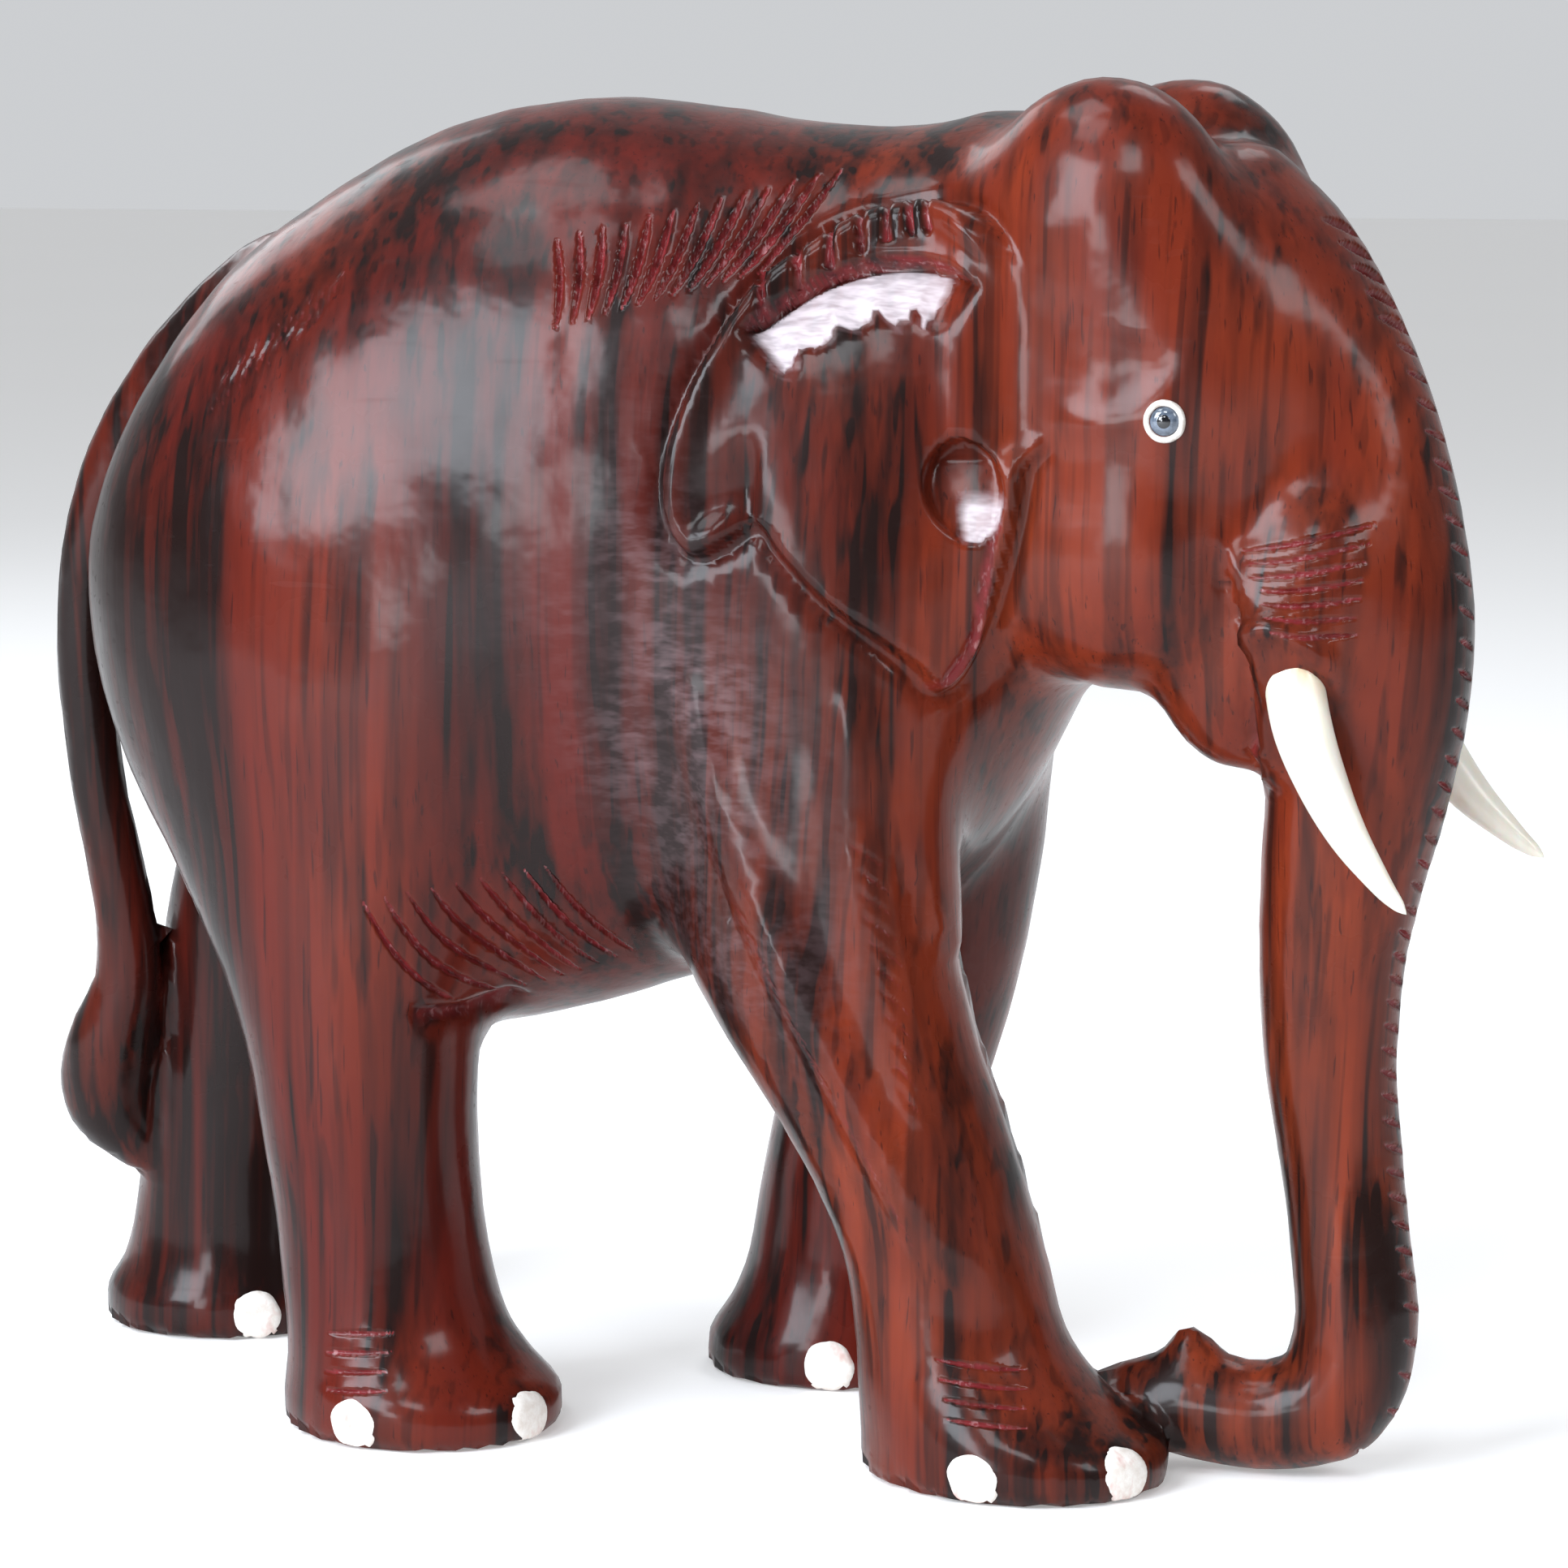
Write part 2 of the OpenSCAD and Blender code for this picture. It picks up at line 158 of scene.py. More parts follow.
def lump(P, c, r):
    q = P - np.array(c, float)
    r = np.array(r, float)
    k0 = np.sqrt(((q / r) ** 2).sum(1))
    k1 = np.sqrt(((q / (r * r)) ** 2).sum(1))
    return k0 * (k0 - 1) / np.maximum(k1, 1e-9)


def lineDistance(P, line):
    # distance to a polyline and the place along it, 0 to 1
    best = np.full(len(P), 1e3)
    place = np.zeros(len(P))
    line = np.asarray(line, float)
    n = len(line) - 1
    for i in range(n):
        ab = line[i + 1] - line[i]
        t = np.clip(((P - line[i]) @ ab) / max(ab @ ab, 1e-9), 0, 1)
        q = P - line[i] - t[:, None] * ab
        d = np.sqrt((q * q).sum(1))
        near = d < best
        best = np.where(near, d, best)
        place = np.where(near, (i + t) / n, place)
    return best, place


def insideLoop(P, loop):
    x, z = P[:, 0], P[:, 1]
    inside = np.zeros(len(P), bool)
    for a, b in zip(loop, np.roll(loop, -1, 0)):
        if a[1] == b[1]:
            continue
        sideX = (b[0] - a[0]) * (z - a[1]) / (b[1] - a[1]) + a[0]
        inside ^= ((a[1] > z) != (b[1] > z)) & (x < sideX)
    return inside


block = {
    "cell": 2.0,      # spacing of the first net
    "barrelSquare": 2.2,                # 2 is an oval, more is squarer
    "legBlend": 7,                      # how softly a leg runs into the barrel
    "tailBlend": 2,
    "neckX": 21.0,                      # the head turns about an upright line here
    "headTurn": 9.0,                    # degrees towards the right side
    "soleRound": 0.8,
}

# x, top, bottom, half width
barrelRows = [
    [-76.6, 96, 88, 3], [-75.5, 104, 82, 11], [-71.5, 112.5, 74, 19], [-65, 122.5, 64, 26],
    [-56, 132.4, 54, 29.5], [-44, 140.4, 46.5, 31.5], [-31, 146.2, 43, 32.3],
    [-17, 148.6, 46, 32.3], [-4, 147.8, 50, 31], [9, 146, 53.5, 28.8], [21, 145.6, 58, 26.6],
    [31, 147.2, 68, 24], [39, 145.6, 82, 21], [45, 139, 90, 16], [49, 130, 98, 9],
]

# each row: height, middle x, middle y, half length, half width; turn is how far the toes point out
legs = {
    "frontRight": {"turn": -18, "rows": [
        [0, 38.6, -20.5, 17, 14.2], [1, 38.6, -20.5, 17.4, 14.6], [4.5, 38.4, -20.5, 17.2, 14.6],
        [9, 35.4, -20.5, 14.2, 13.2], [15, 32.8, -20.5, 11.6, 11.6], [23, 31, -20.3, 11.1, 11.3],
        [31, 28.2, -20, 11.8, 11.6], [39.5, 24, -19.6, 13.2, 12.2], [48, 19.2, -19, 14.9, 13],
        [57, 15.8, -18.5, 16.6, 13.6], [70, 14.4, -17.5, 17.3, 14], [85, 14.2, -16.5, 18, 14],
        [103, 13.5, -15, 18, 13.5], [121, 12, -13, 13, 11], [130, 12, -11, 5, 5]]},
    "frontLeft": {"turn": 18, "rows": [
        [0, 5, 20.5, 15, 14.2], [1, 5, 20.5, 15.4, 14.6], [4.5, 5, 20.5, 15.2, 14.6],
        [9, 5.8, 20.4, 13, 13.4], [15, 6.4, 20.4, 11.6, 12.2], [23, 7.8, 20.2, 11.5, 11.8],
        [31, 9.8, 20, 11.8, 12], [39.5, 12, 19.6, 12.3, 12.4], [48, 14, 19, 13, 13],
        [57, 15, 18.5, 14, 13.6], [70, 15.8, 17.5, 15, 14], [85, 14.2, 16.5, 17, 14],
        [103, 13.5, 15, 18, 13.5], [121, 12, 13, 13, 11], [130, 12, 11, 5, 5]]},
    "hindRight": {"turn": -18, "rows": [
        [0, -30.9, -20.5, 15.6, 14.4], [1, -30.9, -20.5, 16, 14.8], [4.5, -31, -20.5, 15.8, 14.8],
        [8, -32.6, -20.5, 13.6, 13.6], [14, -34.6, -20.5, 11.8, 12.4], [27, -36.6, -20.3, 11.4, 12],
        [41, -38, -20, 12.7, 12.8], [50, -39.4, -19.5, 15, 13.2], [60, -41.5, -19, 19, 13.4],
        [74, -43.5, -18, 24, 13.6], [90, -45, -17, 25, 13.4], [108, -45, -15, 20, 12],
        [122, -44, -11, 8, 6]]},
    "hindLeft": {"turn": 18, "rows": [
        [0, -73.4, 20.5, 15, 14.2], [1, -73.4, 20.5, 15.4, 14.6], [4.5, -73.4, 20.5, 15.2, 14.6],
        [8, -73, 20.5, 13.6, 13.4], [14, -72.6, 20.5, 12.4, 12.6], [27, -71, 20.3, 12.2, 12.2],
        [41, -68, 20, 12.8, 12.8], [50, -65, 19.5, 14.6, 13.2], [60, -60, 19, 17, 13.4],
        [74, -54, 18, 20, 13.6], [90, -49, 17, 23, 13.4], [108, -45, 15, 20, 12],
        [122, -44, 11, 8, 6]]},
}

# x, y, z, radius; the trunk is in the head's own frame
tailRows = [
    [-50, 0, 131.6, 3], [-57, 0, 130, 3.3], [-64, 0, 124.6, 3.4], [-71.4, 0, 117, 3.4],
    [-77.8, 0.4, 107, 3.4], [-81.6, 1, 96, 3.4], [-83.2, 2, 84, 3.4], [-82.8, 3.4, 72, 3.3],
    [-81.8, 4.6, 62, 3.2], [-80.4, 6, 52, 3.4], [-80.6, 7.4, 43, 4.2], [-83.4, 8.8, 35, 5.6],
    [-84.4, 10, 28.6, 5.6], [-81, 11, 22.4, 3],
]

trunkRows = [
    [60.6, 0, 138, 5.5], [64.6, 0, 130, 8.2], [68.6, 0, 121, 9.6], [71.8, 0, 112, 10],
    [73.8, 0, 103, 10.5], [75, 0, 94, 10.9], [74.8, 0, 85, 10.7], [73.6, 0, 75, 9.8],
    [72, 0, 65, 8.7], [71, 0, 55, 7.7], [71, 0, 45, 7.0], [72.2, 0, 35, 6.5],
    [73.8, -0.4, 25, 6.4], [74.8, -1, 16, 6.5], [72.6, -2, 8.8, 6.5], [67, -3.6, 6.4, 6],
    [61, -5, 6.4, 5.8], [55.5, -6, 7, 5.4], [51, -6.8, 7.4, 3.8],
]
# the finger on the trunk's tip
fingerRows = [[57.4, -5.6, 8, 5], [57.6, -5.7, 10.6, 3.8], [57.4, -5.8, 13, 2.3], [57.2, -5.8, 14.8, 1]]


def turned(P, degrees):
    t = math.radians(degrees)
    x = P[:, 0] - block["neckX"]
    y = P[:, 1]
    return np.stack([block["neckX"] + x * math.cos(t) - y * math.sin(t),
                     x * math.sin(t) + y * math.cos(t), P[:, 2]], 1)


def toHead(P):
    return turned(P, block["headTurn"])


def fromHead(P):
    return turned(P, -block["headTurn"])


def headField(H):
    A = H.copy()
    A[:, 1] = np.abs(A[:, 1])
    d = lump(A, (50, 3, 114), (22, 17.5, 29))
    d = smoothMin(d, lump(A, (48.5, 10.8, 134.6), (14.5, 9.8, 15.9)), 5)      # crown
    d = smoothMin(d, lump(A, (60, 6.8, 122), (11.6, 9.2, 16)), 6)            # brow
    d = smoothMin(d, lump(A, (50, 11, 98.6), (15, 9.8, 12)), 5)              # cheek
    d = smoothMin(d, lump(A, (63.4, 7.6, 88.6), (9.6, 6.2, 11)), 4)          # jaw corner
    d = smoothMin(d, lump(A, (71.6, 9.2, 97), (7.6, 6.8, 11)), 5)            # swell above the tusk
    d = smoothMin(d, lump(A, (71.2, 11.8, 92), (5, 4.8, 5.6)), 3)            # boss round its socket
    d = smoothMin(d, alongPath(H, trunkRows), 5)
    return smoothMin(d, alongPath(H, fingerRows), 1.5)


def blockField(P):
    d = acrossX(P, barrelRows, block["barrelSquare"])
    for leg in legs.values():
        r = np.array(leg["rows"])
        reach = r[:, 3:5].max() + 10
        low = [r[:, 1].min() - reach, r[:, 2].min() - reach, -9]
        high = [r[:, 1].max() + reach, r[:, 2].max() + reach, 140]
        m = inBox(P, low, high)
        d[m] = smoothMin(d[m], upZ(P[m], leg["rows"], leg["turn"]), block["legBlend"])
    m = inBox(P, [-96, -8, 12], [-46, 22, 142])
    d[m] = smoothMin(d[m], alongPath(P[m], tailRows), block["tailBlend"])
    m = inBox(P, [14, -40, -9], [100, 40, 162])
    H = toHead(P[m])
    neckBlend = 1.2 + 5.8 * ramp(H[:, 2], 40, 75)      # the trunk stays clear of the feet
    d[m] = smoothMin(d[m], headField(H), neckBlend)
    return -smoothMin(-d, P[:, 2], block["soleRound"])      # flat soles


def slope(P, step=0.12):
    # the way out of the block, and how far off its skin each point is
    corners = np.array([[1, 1, 1], [1, -1, -1], [-1, 1, -1], [-1, -1, 1]], float)
    values = [blockField(P + step * c) for c in corners]
    g = sum(c * v[:, None] for c, v in zip(corners, values)) / (4 * step)
    return g, sum(values) / 4


def settle(P, rounds):
    # pull points onto the skin of the block
    for _ in range(rounds):
        g, d = slope(P)
        steps = np.clip(d / np.maximum((g * g).sum(1), 0.1), -1.5, 1.5)
        P = P - steps[:, None] * g
    return P


def skinNet(step):
    # quads over the zero level of the block, one corner per cell
    low = np.array([-95.0, -42.0, -3.0])
    n = np.ceil((np.array([95.0, 42.0, 155.0]) - low) / step).astype(int)
    axes = [low[i] + step * np.arange(n[i]) for i in range(3)]
    grid = np.stack(np.meshgrid(*axes, indexing="ij"), -1)
    coarse = blockField(grid[::3, ::3, ::3].reshape(-1, 3)).reshape((n + 2) // 3)
    D = coarse.repeat(3, 0).repeat(3, 1).repeat(3, 2)[:n[0], :n[1], :n[2]]
    near = np.abs(D) < 7 * step          # only cells close to the skin are worked out in full
    D[near] = blockField(grid[near])
    neg = D < 0
    nx, ny, nz = n
    corners = [(i, j, k) for i in (0, 1) for j in (0, 1) for k in (0, 1)]
    count = sum(neg[i:nx - 1 + i, j:ny - 1 + j, k:nz - 1 + k].astype(int) for i, j, k in corners)
    cells = np.argwhere((count > 0) & (count < 8))
    index = np.full(count.shape, -1)
    index[tuple(cells.T)] = np.arange(len(cells))
    total = np.zeros((len(cells), 3))
    hits = np.zeros(len(cells))
    for a in corners:
        for axis in range(3):
            if a[axis]:
                continue
            b = list(a)
            b[axis] = 1
            va = D[tuple((cells + a).T)]
            vb = D[tuple((cells + b).T)]
            cross = (va < 0) != (vb < 0)
            p = np.repeat(np.array([a], float), len(cells), 0)
            p[:, axis] += np.where(cross, va / np.where(va == vb, 1, va - vb), 0)
            total += p * cross[:, None]
            hits += cross
    points = low + step * (cells + total / hits[:, None])
    quads = []
    for axis in range(3):
        u, v = (axis + 1) % 3, (axis + 2) % 3
        first, second = [slice(1, -1)] * 3, [slice(1, -1)] * 3
        first[axis], second[axis] = slice(0, -1), slice(1, None)
        a, b = neg[tuple(first)], neg[tuple(second)]
        edges = np.argwhere(a != b)
        inside = a[tuple(edges.T)]
        base = edges + 1
        base[:, axis] -= 1
        ring = []
        for du, dv in ((0, 0), (1, 0), (1, 1), (0, 1)):
            q = base.copy()
            q[:, u] -= du
            q[:, v] -= dv
            ring.append(index[tuple(q.T)])
        q = np.stack(ring, 1)
        quads.append(np.where(inside[:, None], q, q[:, ::-1]))
    return points, np.concatenate(quads)


ear = {
    # outline in the head's own x, z, right side
    "outline": [
        [45.6, 112], [43.6, 109.6], [42.6, 104.5], [41.3, 99.5], [39.2, 94], [37, 89.6],
        [34.8, 86], [33, 88.8], [29.6, 92], [24.6, 96], [20.2, 100.6], [17.4, 103.6],
        [13.4, 101.2], [10.2, 100.2], [7.9, 102.8], [7, 106.6], [7.3, 111], [9, 117],
        [11.2, 122], [14.4, 128.6], [17.8, 131.6], [23.2, 135.2], [30, 136.8], [35, 136.8],
        [40, 134.6], [44, 129], [46, 120]],
    "height": 2.2,                   # how far the plate stands off the head
    "rimRise": 1.0, "backRise": 0.9,
    "slit": [[13.6, 122.4], [16.6, 125.4], [20.4, 128.4], [25, 130.2], [30, 130.8],
             [34.6, 130.2], [39.4, 128.2]],
    # scoops below the slit: reach is how far down they come, more where a scoop is at its widest
    "scoop": {"count": 5.2, "reach": 5.6, "more": 1.3, "depth": 2.5, "edge": 0.25},
    # x and z of each slot over the rim, and how far its foot lies ahead
    "slots": [[14.7, 129.4, 1.2], [18.0, 131.8, 0.9], [21.0, 133.8, 0.7], [24.0, 135.2, 0.6],
              [26.8, 136.0, 0.5], [29.4, 136.6, 0.5], [31.6, 136.8, 0.6]],
    "slotDepth": 1.3,
    "crease": [[16.6, 114], [17.2, 108.4], [17.8, 103.4]], "creaseDepth": 1.7,
    "lobe": {"x": 13.4, "z": 105.5, "depth": 1.0, "width": 3.0},
    "hollow": {"x": 37.6, "z": 107.2, "half": 4.6, "tall": 5.6, "depth": 3.4, "foot": 101},
    "frontCut": [[34.6, 86.6], [37.6, 92.5], [39.6, 98], [41, 103.6]],
    "cutDepth": 0.7,                 # slit, front cut and the shadow line all round
}

# rows of knife strokes as x, z ends; with a cycle, each stroke is a little fatter than the last
strokes = {
    "shoulderFan": {
        "ends": [[(-11 + 1.75 * i, 124 + 0.5 * i), (-12.4 + 2.42 * i, 133.4 + 0.62 * i)]
                 for i in range(13)],
        "half": 0.32, "cycle": 3, "depth": 0.85, "bow": -0.5},
    "flank": {
        "ends": [[(-24.5 + 2.2 * i, 48.4 + 0.75 * i), (-32.5 + 2.35 * i, 61 + 0.5 * i)]
                 for i in range(9)],
        "half": 0.3, "cycle": 2, "depth": 0.8, "bow": 0.6},
    "rump": {
        "ends": [[(-53 + 1.8 * i, 113 + 1.5 * i), (-50.2 + 1.8 * i, 120 + 1.4 * i)]
                 for i in range(8)],
        "half": 0.2, "depth": 0.25},
    "legRear": {
        "ends": [[(8.6 + 1.5 * i, 64 - 2.5 * i), (12.6 + 1.4 * i, 60.4 - 2.6 * i)]
                 for i in range(14)],
        "half": 0.2, "depth": 0.22, "sides": (-1,)},
    "legFront": {
        "ends": [[(22.8 + 0.55 * i, 70 - 2.6 * i), (26.6 + 0.4 * i, 67 - 2.6 * i)]
                 for i in range(11)],
        "half": 0.2, "depth": 0.22, "sides": (-1,)},
    "frontAnkle": {
        "ends": [[(33.4 + 0.6 * i, 14.8 - 2 * i), (42.4 + 0.4 * i, 13.6 - 1.8 * i)]
                 for i in range(4)],
        "half": 0.26, "depth": 0.5, "leftShift": -33.4},
    "hindAnkle": {
        "ends": [[(-37.4, 12.4 - 2.1 * i), (-29.6, 12.8 - 2.0 * i)] for i in range(4)],
        "half": 0.26, "depth": 0.5, "leftShift": -41.0},
    "trunkRoot": {
        "ends": [[(66.2 + 0.8 * i, 101.4 - 1.35 * i), (79.2 - 0.1 * i, 104.4 - 1.9 * i)]
                 for i in range(7)],
        "half": 0.28, "depth": 0.55, "bow": -0.3, "head": True},
}
faintStroke = 0.23                   # strokes with a smaller half width are only scratches
notches = {
    "count": 46, "topCount": 5,
    # half length, half width, depth
    "top": (3.0, 0.7, 1.2), "plain": (2.1, 0.36, 0.6),
}


def ontoSkin(lines, sides, heads):
    # lines of x, z places laid onto the right or left skin, all at once;
    # heads says which are in the head's own frame
    pts = np.concatenate(lines)
    side = np.repeat(sides, [len(v) for v in lines])
    head = np.repeat(heads, [len(v) for v in lines])[:, None]
    far = np.full(len(pts), 48.0)
    near = np.full(len(pts), 0.5)
    for _ in range(16):
        mid = (far + near) / 2
        P = np.stack([pts[:, 0], side * mid, pts[:, 1]], 1)
        P = np.where(head, fromHead(P), P)
        inside = blockField(P) < 0
        near = np.where(inside, mid, near)
        far = np.where(inside, far, mid)
    return np.split(P, np.cumsum([len(v) for v in lines])[:-1])


def strokeList():
    # every fine knife stroke as a line on the skin, with its half width and depth
    lines, sides, heads, cuts = [], [], [], []
    t = np.linspace(0, 1, 8)[:, None]
    for row in strokes.values():
        for i, ends in enumerate(row["ends"]):
            a, b = np.array(ends)
            across = np.array([-(b - a)[1], (b - a)[0]]) / np.linalg.norm(b - a)
            line = a + (b - a) * t + across * row.get("bow", 0.0) * np.sin(math.pi * t)
            half = row["half"] + 0.05 * (i % row.get("cycle", 1))
            for side in row.get("sides", (-1, 1)):
                shift = row.get("leftShift", 0.0) if side == 1 else 0.0
                lines.append(line + [shift, 0])
                sides.append(side)
                heads.append(row.get("head", False))
                cuts.append((half, row["depth"]))
    return [(line, *cut) for line, cut in zip(ontoSkin(lines, sides, heads), cuts)]


def notchList():
    # short cuts down the middle of the trunk's front, the top ones deeper
    r = curveThrough(trunkRows, 10)
    r = r[(r[:, 2] < 133) & (np.arange(len(r)) < 145)]
    length = np.concatenate([[0], np.cumsum(np.linalg.norm(np.diff(r[:, :3], axis=0), axis=1))])
    sideways = np.array([0, 1.0, 0])
    lines, cuts = [], []
    for i in range(notches["count"]):
        s = (i + 0.4) / notches["count"] * length[-1]
        c = np.array([np.interp(s, length, r[:, k]) for k in range(4)])
        ahead = np.array([np.interp(s + 0.5, length, r[:, k]) for k in range(3)])
        way = (ahead - c[:3]) / max(np.linalg.norm(ahead - c[:3]), 1e-6)
        front = np.cross(way, sideways)
        front = -front if front[0] < 0 and c[2] > 20 else front
        long, half, depth = notches["top" if i < notches["topCount"] else "plain"]
        a = np.linspace(-long / c[3], long / c[3], 7)[:, None]
        arc = c[3] * (np.cos(a) * front + np.sin(a) * sideways)
        lines.append(c[:3] + arc + way * 0.35 * a * c[3])
        cuts.append((half, depth))
    P = settle(fromHead(np.concatenate(lines)), 3)
    return [(line, *cut) for line, cut in zip(np.split(P, len(lines)), cuts)]


def nearEar(H):
    return inBox(H, [2, -60, 82], [50, 60, 141]) & (np.abs(H[:, 1]) > 9)


def earRelief(H):
    # how far the ear stands off the block, how fresh its cuts are, and where a highlight is painted on the
    # scoops and in the hollow
    up = np.zeros(len(H))
    raw = np.zeros(len(H))
    pale = np.zeros(len(H))
    loop = curveThrough(ear["outline"] + [ear["outline"][0]], 4)[:-1]
    m = nearEar(H)
    Q = H[m][:, [0, 2]]
    x, z = Q[:, 0], Q[:, 1]
    edge = lineDistance(Q, np.vstack([loop, loop[:1]]))[0]
    inside = insideLoop(Q, loop)
    d = np.where(inside, edge, -edge)                     # positive inside
    hinge = ramp(x, 36, 44) * ramp(z, 108, 114)           # the front top melts into the head
    h = ear["height"] * ramp(d, -0.35, 0.5) * (1 - hinge)
    top = ramp(z, 120, 126) * (1 - ramp(x, 37, 42))
    back = (1 - ramp(x, 13, 17)) * (1 - top)
    h = h + ear["rimRise"] * bump(d - 1.7, 1.3) * top * inside          # rolled rim
    h = h + ear["backRise"] * bump(d - 1.5, 1.5) * back * inside

    # slit under the rim, then scoops that come up to the face of the ear
    slit = curveThrough(ear["slit"], 5)
    scoop = ear["scoop"]
    sd, sp = lineDistance(Q, slit)
    below = z < np.interp(x, slit[:, 0], slit[:, 1])
    ends = ramp(sp, 0.0, 0.12) * (1 - ramp(sp, 0.86, 1.0))
    wave = np.abs(np.sin(sp * math.pi * scoop["count"] + 0.4))
    fall = np.clip(1 - sd / (scoop["reach"] + scoop["more"] * wave), 0, 1)
    h = h - (scoop["depth"] * fall + scoop["edge"] * ramp(fall, 0, 0.06)) * below * ends
    h = h - ear["cutDepth"] * bump(sd, 0.4) * ends
    scooped = ramp(fall, 0.0, 0.05) * ramp(sd, 0.5, 0.9) * below
    # painted highlight on the scoop facets under the slit
    pale[m] = scooped * ramp(sp, 0.04, 0.1) * (1 - ramp(sp, 0.8, 0.88))
    raw[m] = 0.7 * bump(sd, 0.35) * ends
    for i, (slotX, slotZ, lean) in enumerate(ear["slots"]):
        foot = [slotX + lean, slotZ - 4.2 + 0.2 * i]
        nd = lineDistance(Q, [[slotX - 0.3, slotZ + 0.6], foot])[0]
        h = h - ear["slotDepth"] * (1 - ramp(nd, 0.1, 0.55)) * (d > -0.8)
        raw[m] = np.maximum(raw[m], 0.9 * (1 - ramp(nd, 0.2, 0.5)))

    # the lobe behind folds under: a crease runs down to the lower flap
    crease, lobe = np.array(ear["crease"]), ear["lobe"]
    cd, cp = lineDistance(Q, crease)
    behind = x < np.interp(z, crease[::-1, 1], crease[::-1, 0])
    h = h - ear["creaseDepth"] * bump(cd, 2.6) * behind * ramp(cp, 0.0, 0.6) * inside
    dip = bump(np.hypot(x - lobe["x"], z - lobe["z"]), lobe["width"])
    h = h - lobe["depth"] * dip * inside

    # pear-shaped hollow by the cheek, deepest at its top
    hollow = ear["hollow"]
    cx = hollow["x"] + 0.12 * (106 - z)
    wide = hollow["half"] * np.clip(1 - ((z - hollow["z"]) / hollow["tall"]) ** 2, 0, 1) ** 0.5
    hole = ramp(wide - np.abs(x - cx), -0.1, 1.3)
    h = h - (0.35 + hollow["depth"] * np.clip((z - hollow["foot"]) / 9.5, 0, 1)) * hole
    # painted highlight on the lower part of the hollow, which faces up
    lit = hole * (1 - ramp(z, 104.6, 107.5)) * ramp(x - cx, -1.6, 0.4)
    pale[m] = np.maximum(pale[m], lit)

    # knife line up the front edge, and the shadow cut all round
    fd = lineDistance(Q, ear["frontCut"])[0]
    h = h - ear["cutDepth"] * bump(fd, 0.5)
    raw[m] = np.maximum(raw[m], 0.9 * bump(fd, 0.7))
    h = h - ear["cutDepth"] * bump(d + 0.9, 0.7) * (1 - hinge) * (d < 0.4)
    up[m] = h
    return up, raw, pale


# broad work as x, z lines; the three on the face are in the head's own frame
broad = {
    "rearRidge": [[4.5, 86], [7.5, 73], [18.6, 52], [34, 25]],
    "frontRidge": [[23.4, 84], [25.4, 61], [30, 43], [38.6, 20]],
    "cheekStep": [[63.4, 103], [64.6, 99.5], [66.2, 95], [67.4, 90], [67.2, 85], [66.2, 79.6]],
    "tuskHood": [[66.6, 90], [68, 92.6], [70.6, 93.6], [73.6, 92.4], [76, 89], [77.2, 85]],
    "templeEdge": [[46.5, 115.4], [51, 114.6], [56, 116], [60, 119.5], [62.6, 124]],
    "thighFold": [[-27.4, 48.2], [-24.6, 47.6], [-21.8, 48.6]],
}


def legRidges(P, up):
    # ridges down the outside of the right front leg, with a hollow between them
    m = inBox(P, [-2, -45, 14], [50, -14, 96])
    Q = P[m][:, [0, 2]]
    rear = lineDistance(Q, curveThrough(broad["rearRidge"], 4))[0]
    front = lineDistance(Q, curveThrough(broad["frontRidge"], 4))[0]
    fade = ramp(Q[:, 1], 16, 26) * (1 - ramp(Q[:, 1], 80, 94))
    up[m] += (1.2 * np.clip(1 - rear / 3.4, 0, 1) + 1.0 * np.clip(1 - front / 3, 0, 1)) * fade
    up[m] -= 0.7 * ramp(np.minimum(rear, front), 1.5, 5.0) * (rear + front < 20) * fade


def faceWork(H, up, raw):
    # step from the cheek up to the root of the trunk
    m = inBox(H, [56, -24, 76], [84, 24, 108]) & (np.abs(H[:, 1]) > 3)
    Q = H[m][:, [0, 2]]
    line = curveThrough(broad["cheekStep"], 4)
    sd, sp = lineDistance(Q, line)
    ahead = Q[:, 0] > np.interp(Q[:, 1], line[::-1, 1], line[::-1, 0])
    fade = ramp(sp, 0.0, 0.25)
    up[m] += np.where(ahead, 1.1 * bump(sd, 4.0), -0.9 * bump(sd, 3.0)) * fade - 0.9 * bump(sd, 0.7) * fade
    raw[m] = np.maximum(raw[m], 0.5 * bump(sd, 0.5) * fade * (sp > 0.4))
    # hood over the tusk root
    hd, hp = lineDistance(Q, curveThrough(broad["tuskHood"], 4))
    up[m] += 1.3 * bump(hd, 1.25) * ramp(hp, 0.0, 0.2) * (1 - ramp(hp, 0.7, 1.0))
    # edge under the temple, from the ear to the eye, and the dip above it
    m = inBox(H, [44, -24, 108], [66, 24, 124]) & (np.abs(H[:, 1]) > 10)
    Q = H[m][:, [0, 2]]
    bd, bp = lineDistance(Q, curveThrough(broad["templeEdge"], 4))
    dip = 0.5 * bump(np.hypot(Q[:, 0] - 55.5, Q[:, 1] - 120.6), 4.6) * (Q[:, 1] > 115.2)
    up[m] += (0.25 * bump(bd, 1.4) - dip) * ramp(bp, 0.0, 0.2) * (1 - ramp(bp, 0.7, 1.0))


def thighFold(P, up, raw):
    # fold where the belly meets the thigh
    m = inBox(P, [-32, -40, 42], [-18, 40, 54]) & (np.abs(P[:, 1]) > 8)
    nd = lineDistance(P[m][:, [0, 2]], broad["thighFold"])[0]
    up[m] -= 1.3 * bump(nd, 0.9)
    raw[m] = np.maximum(raw[m], 0.6 * bump(nd, 0.8))


def tooling(P):
    # the slight unevenness that a rasp and sandpaper leave
    w = np.zeros(len(P))
    for rate, rise in ((0.16, 0.16), (0.37, 0.06), (0.8, 0.02)):
        k = random.normal(size=(5, 3)) * rate
        start = random.uniform(0, 6.28, 5)
        w += rise * np.sin(P @ k.T + start).sum(1) / 2.2
    return w


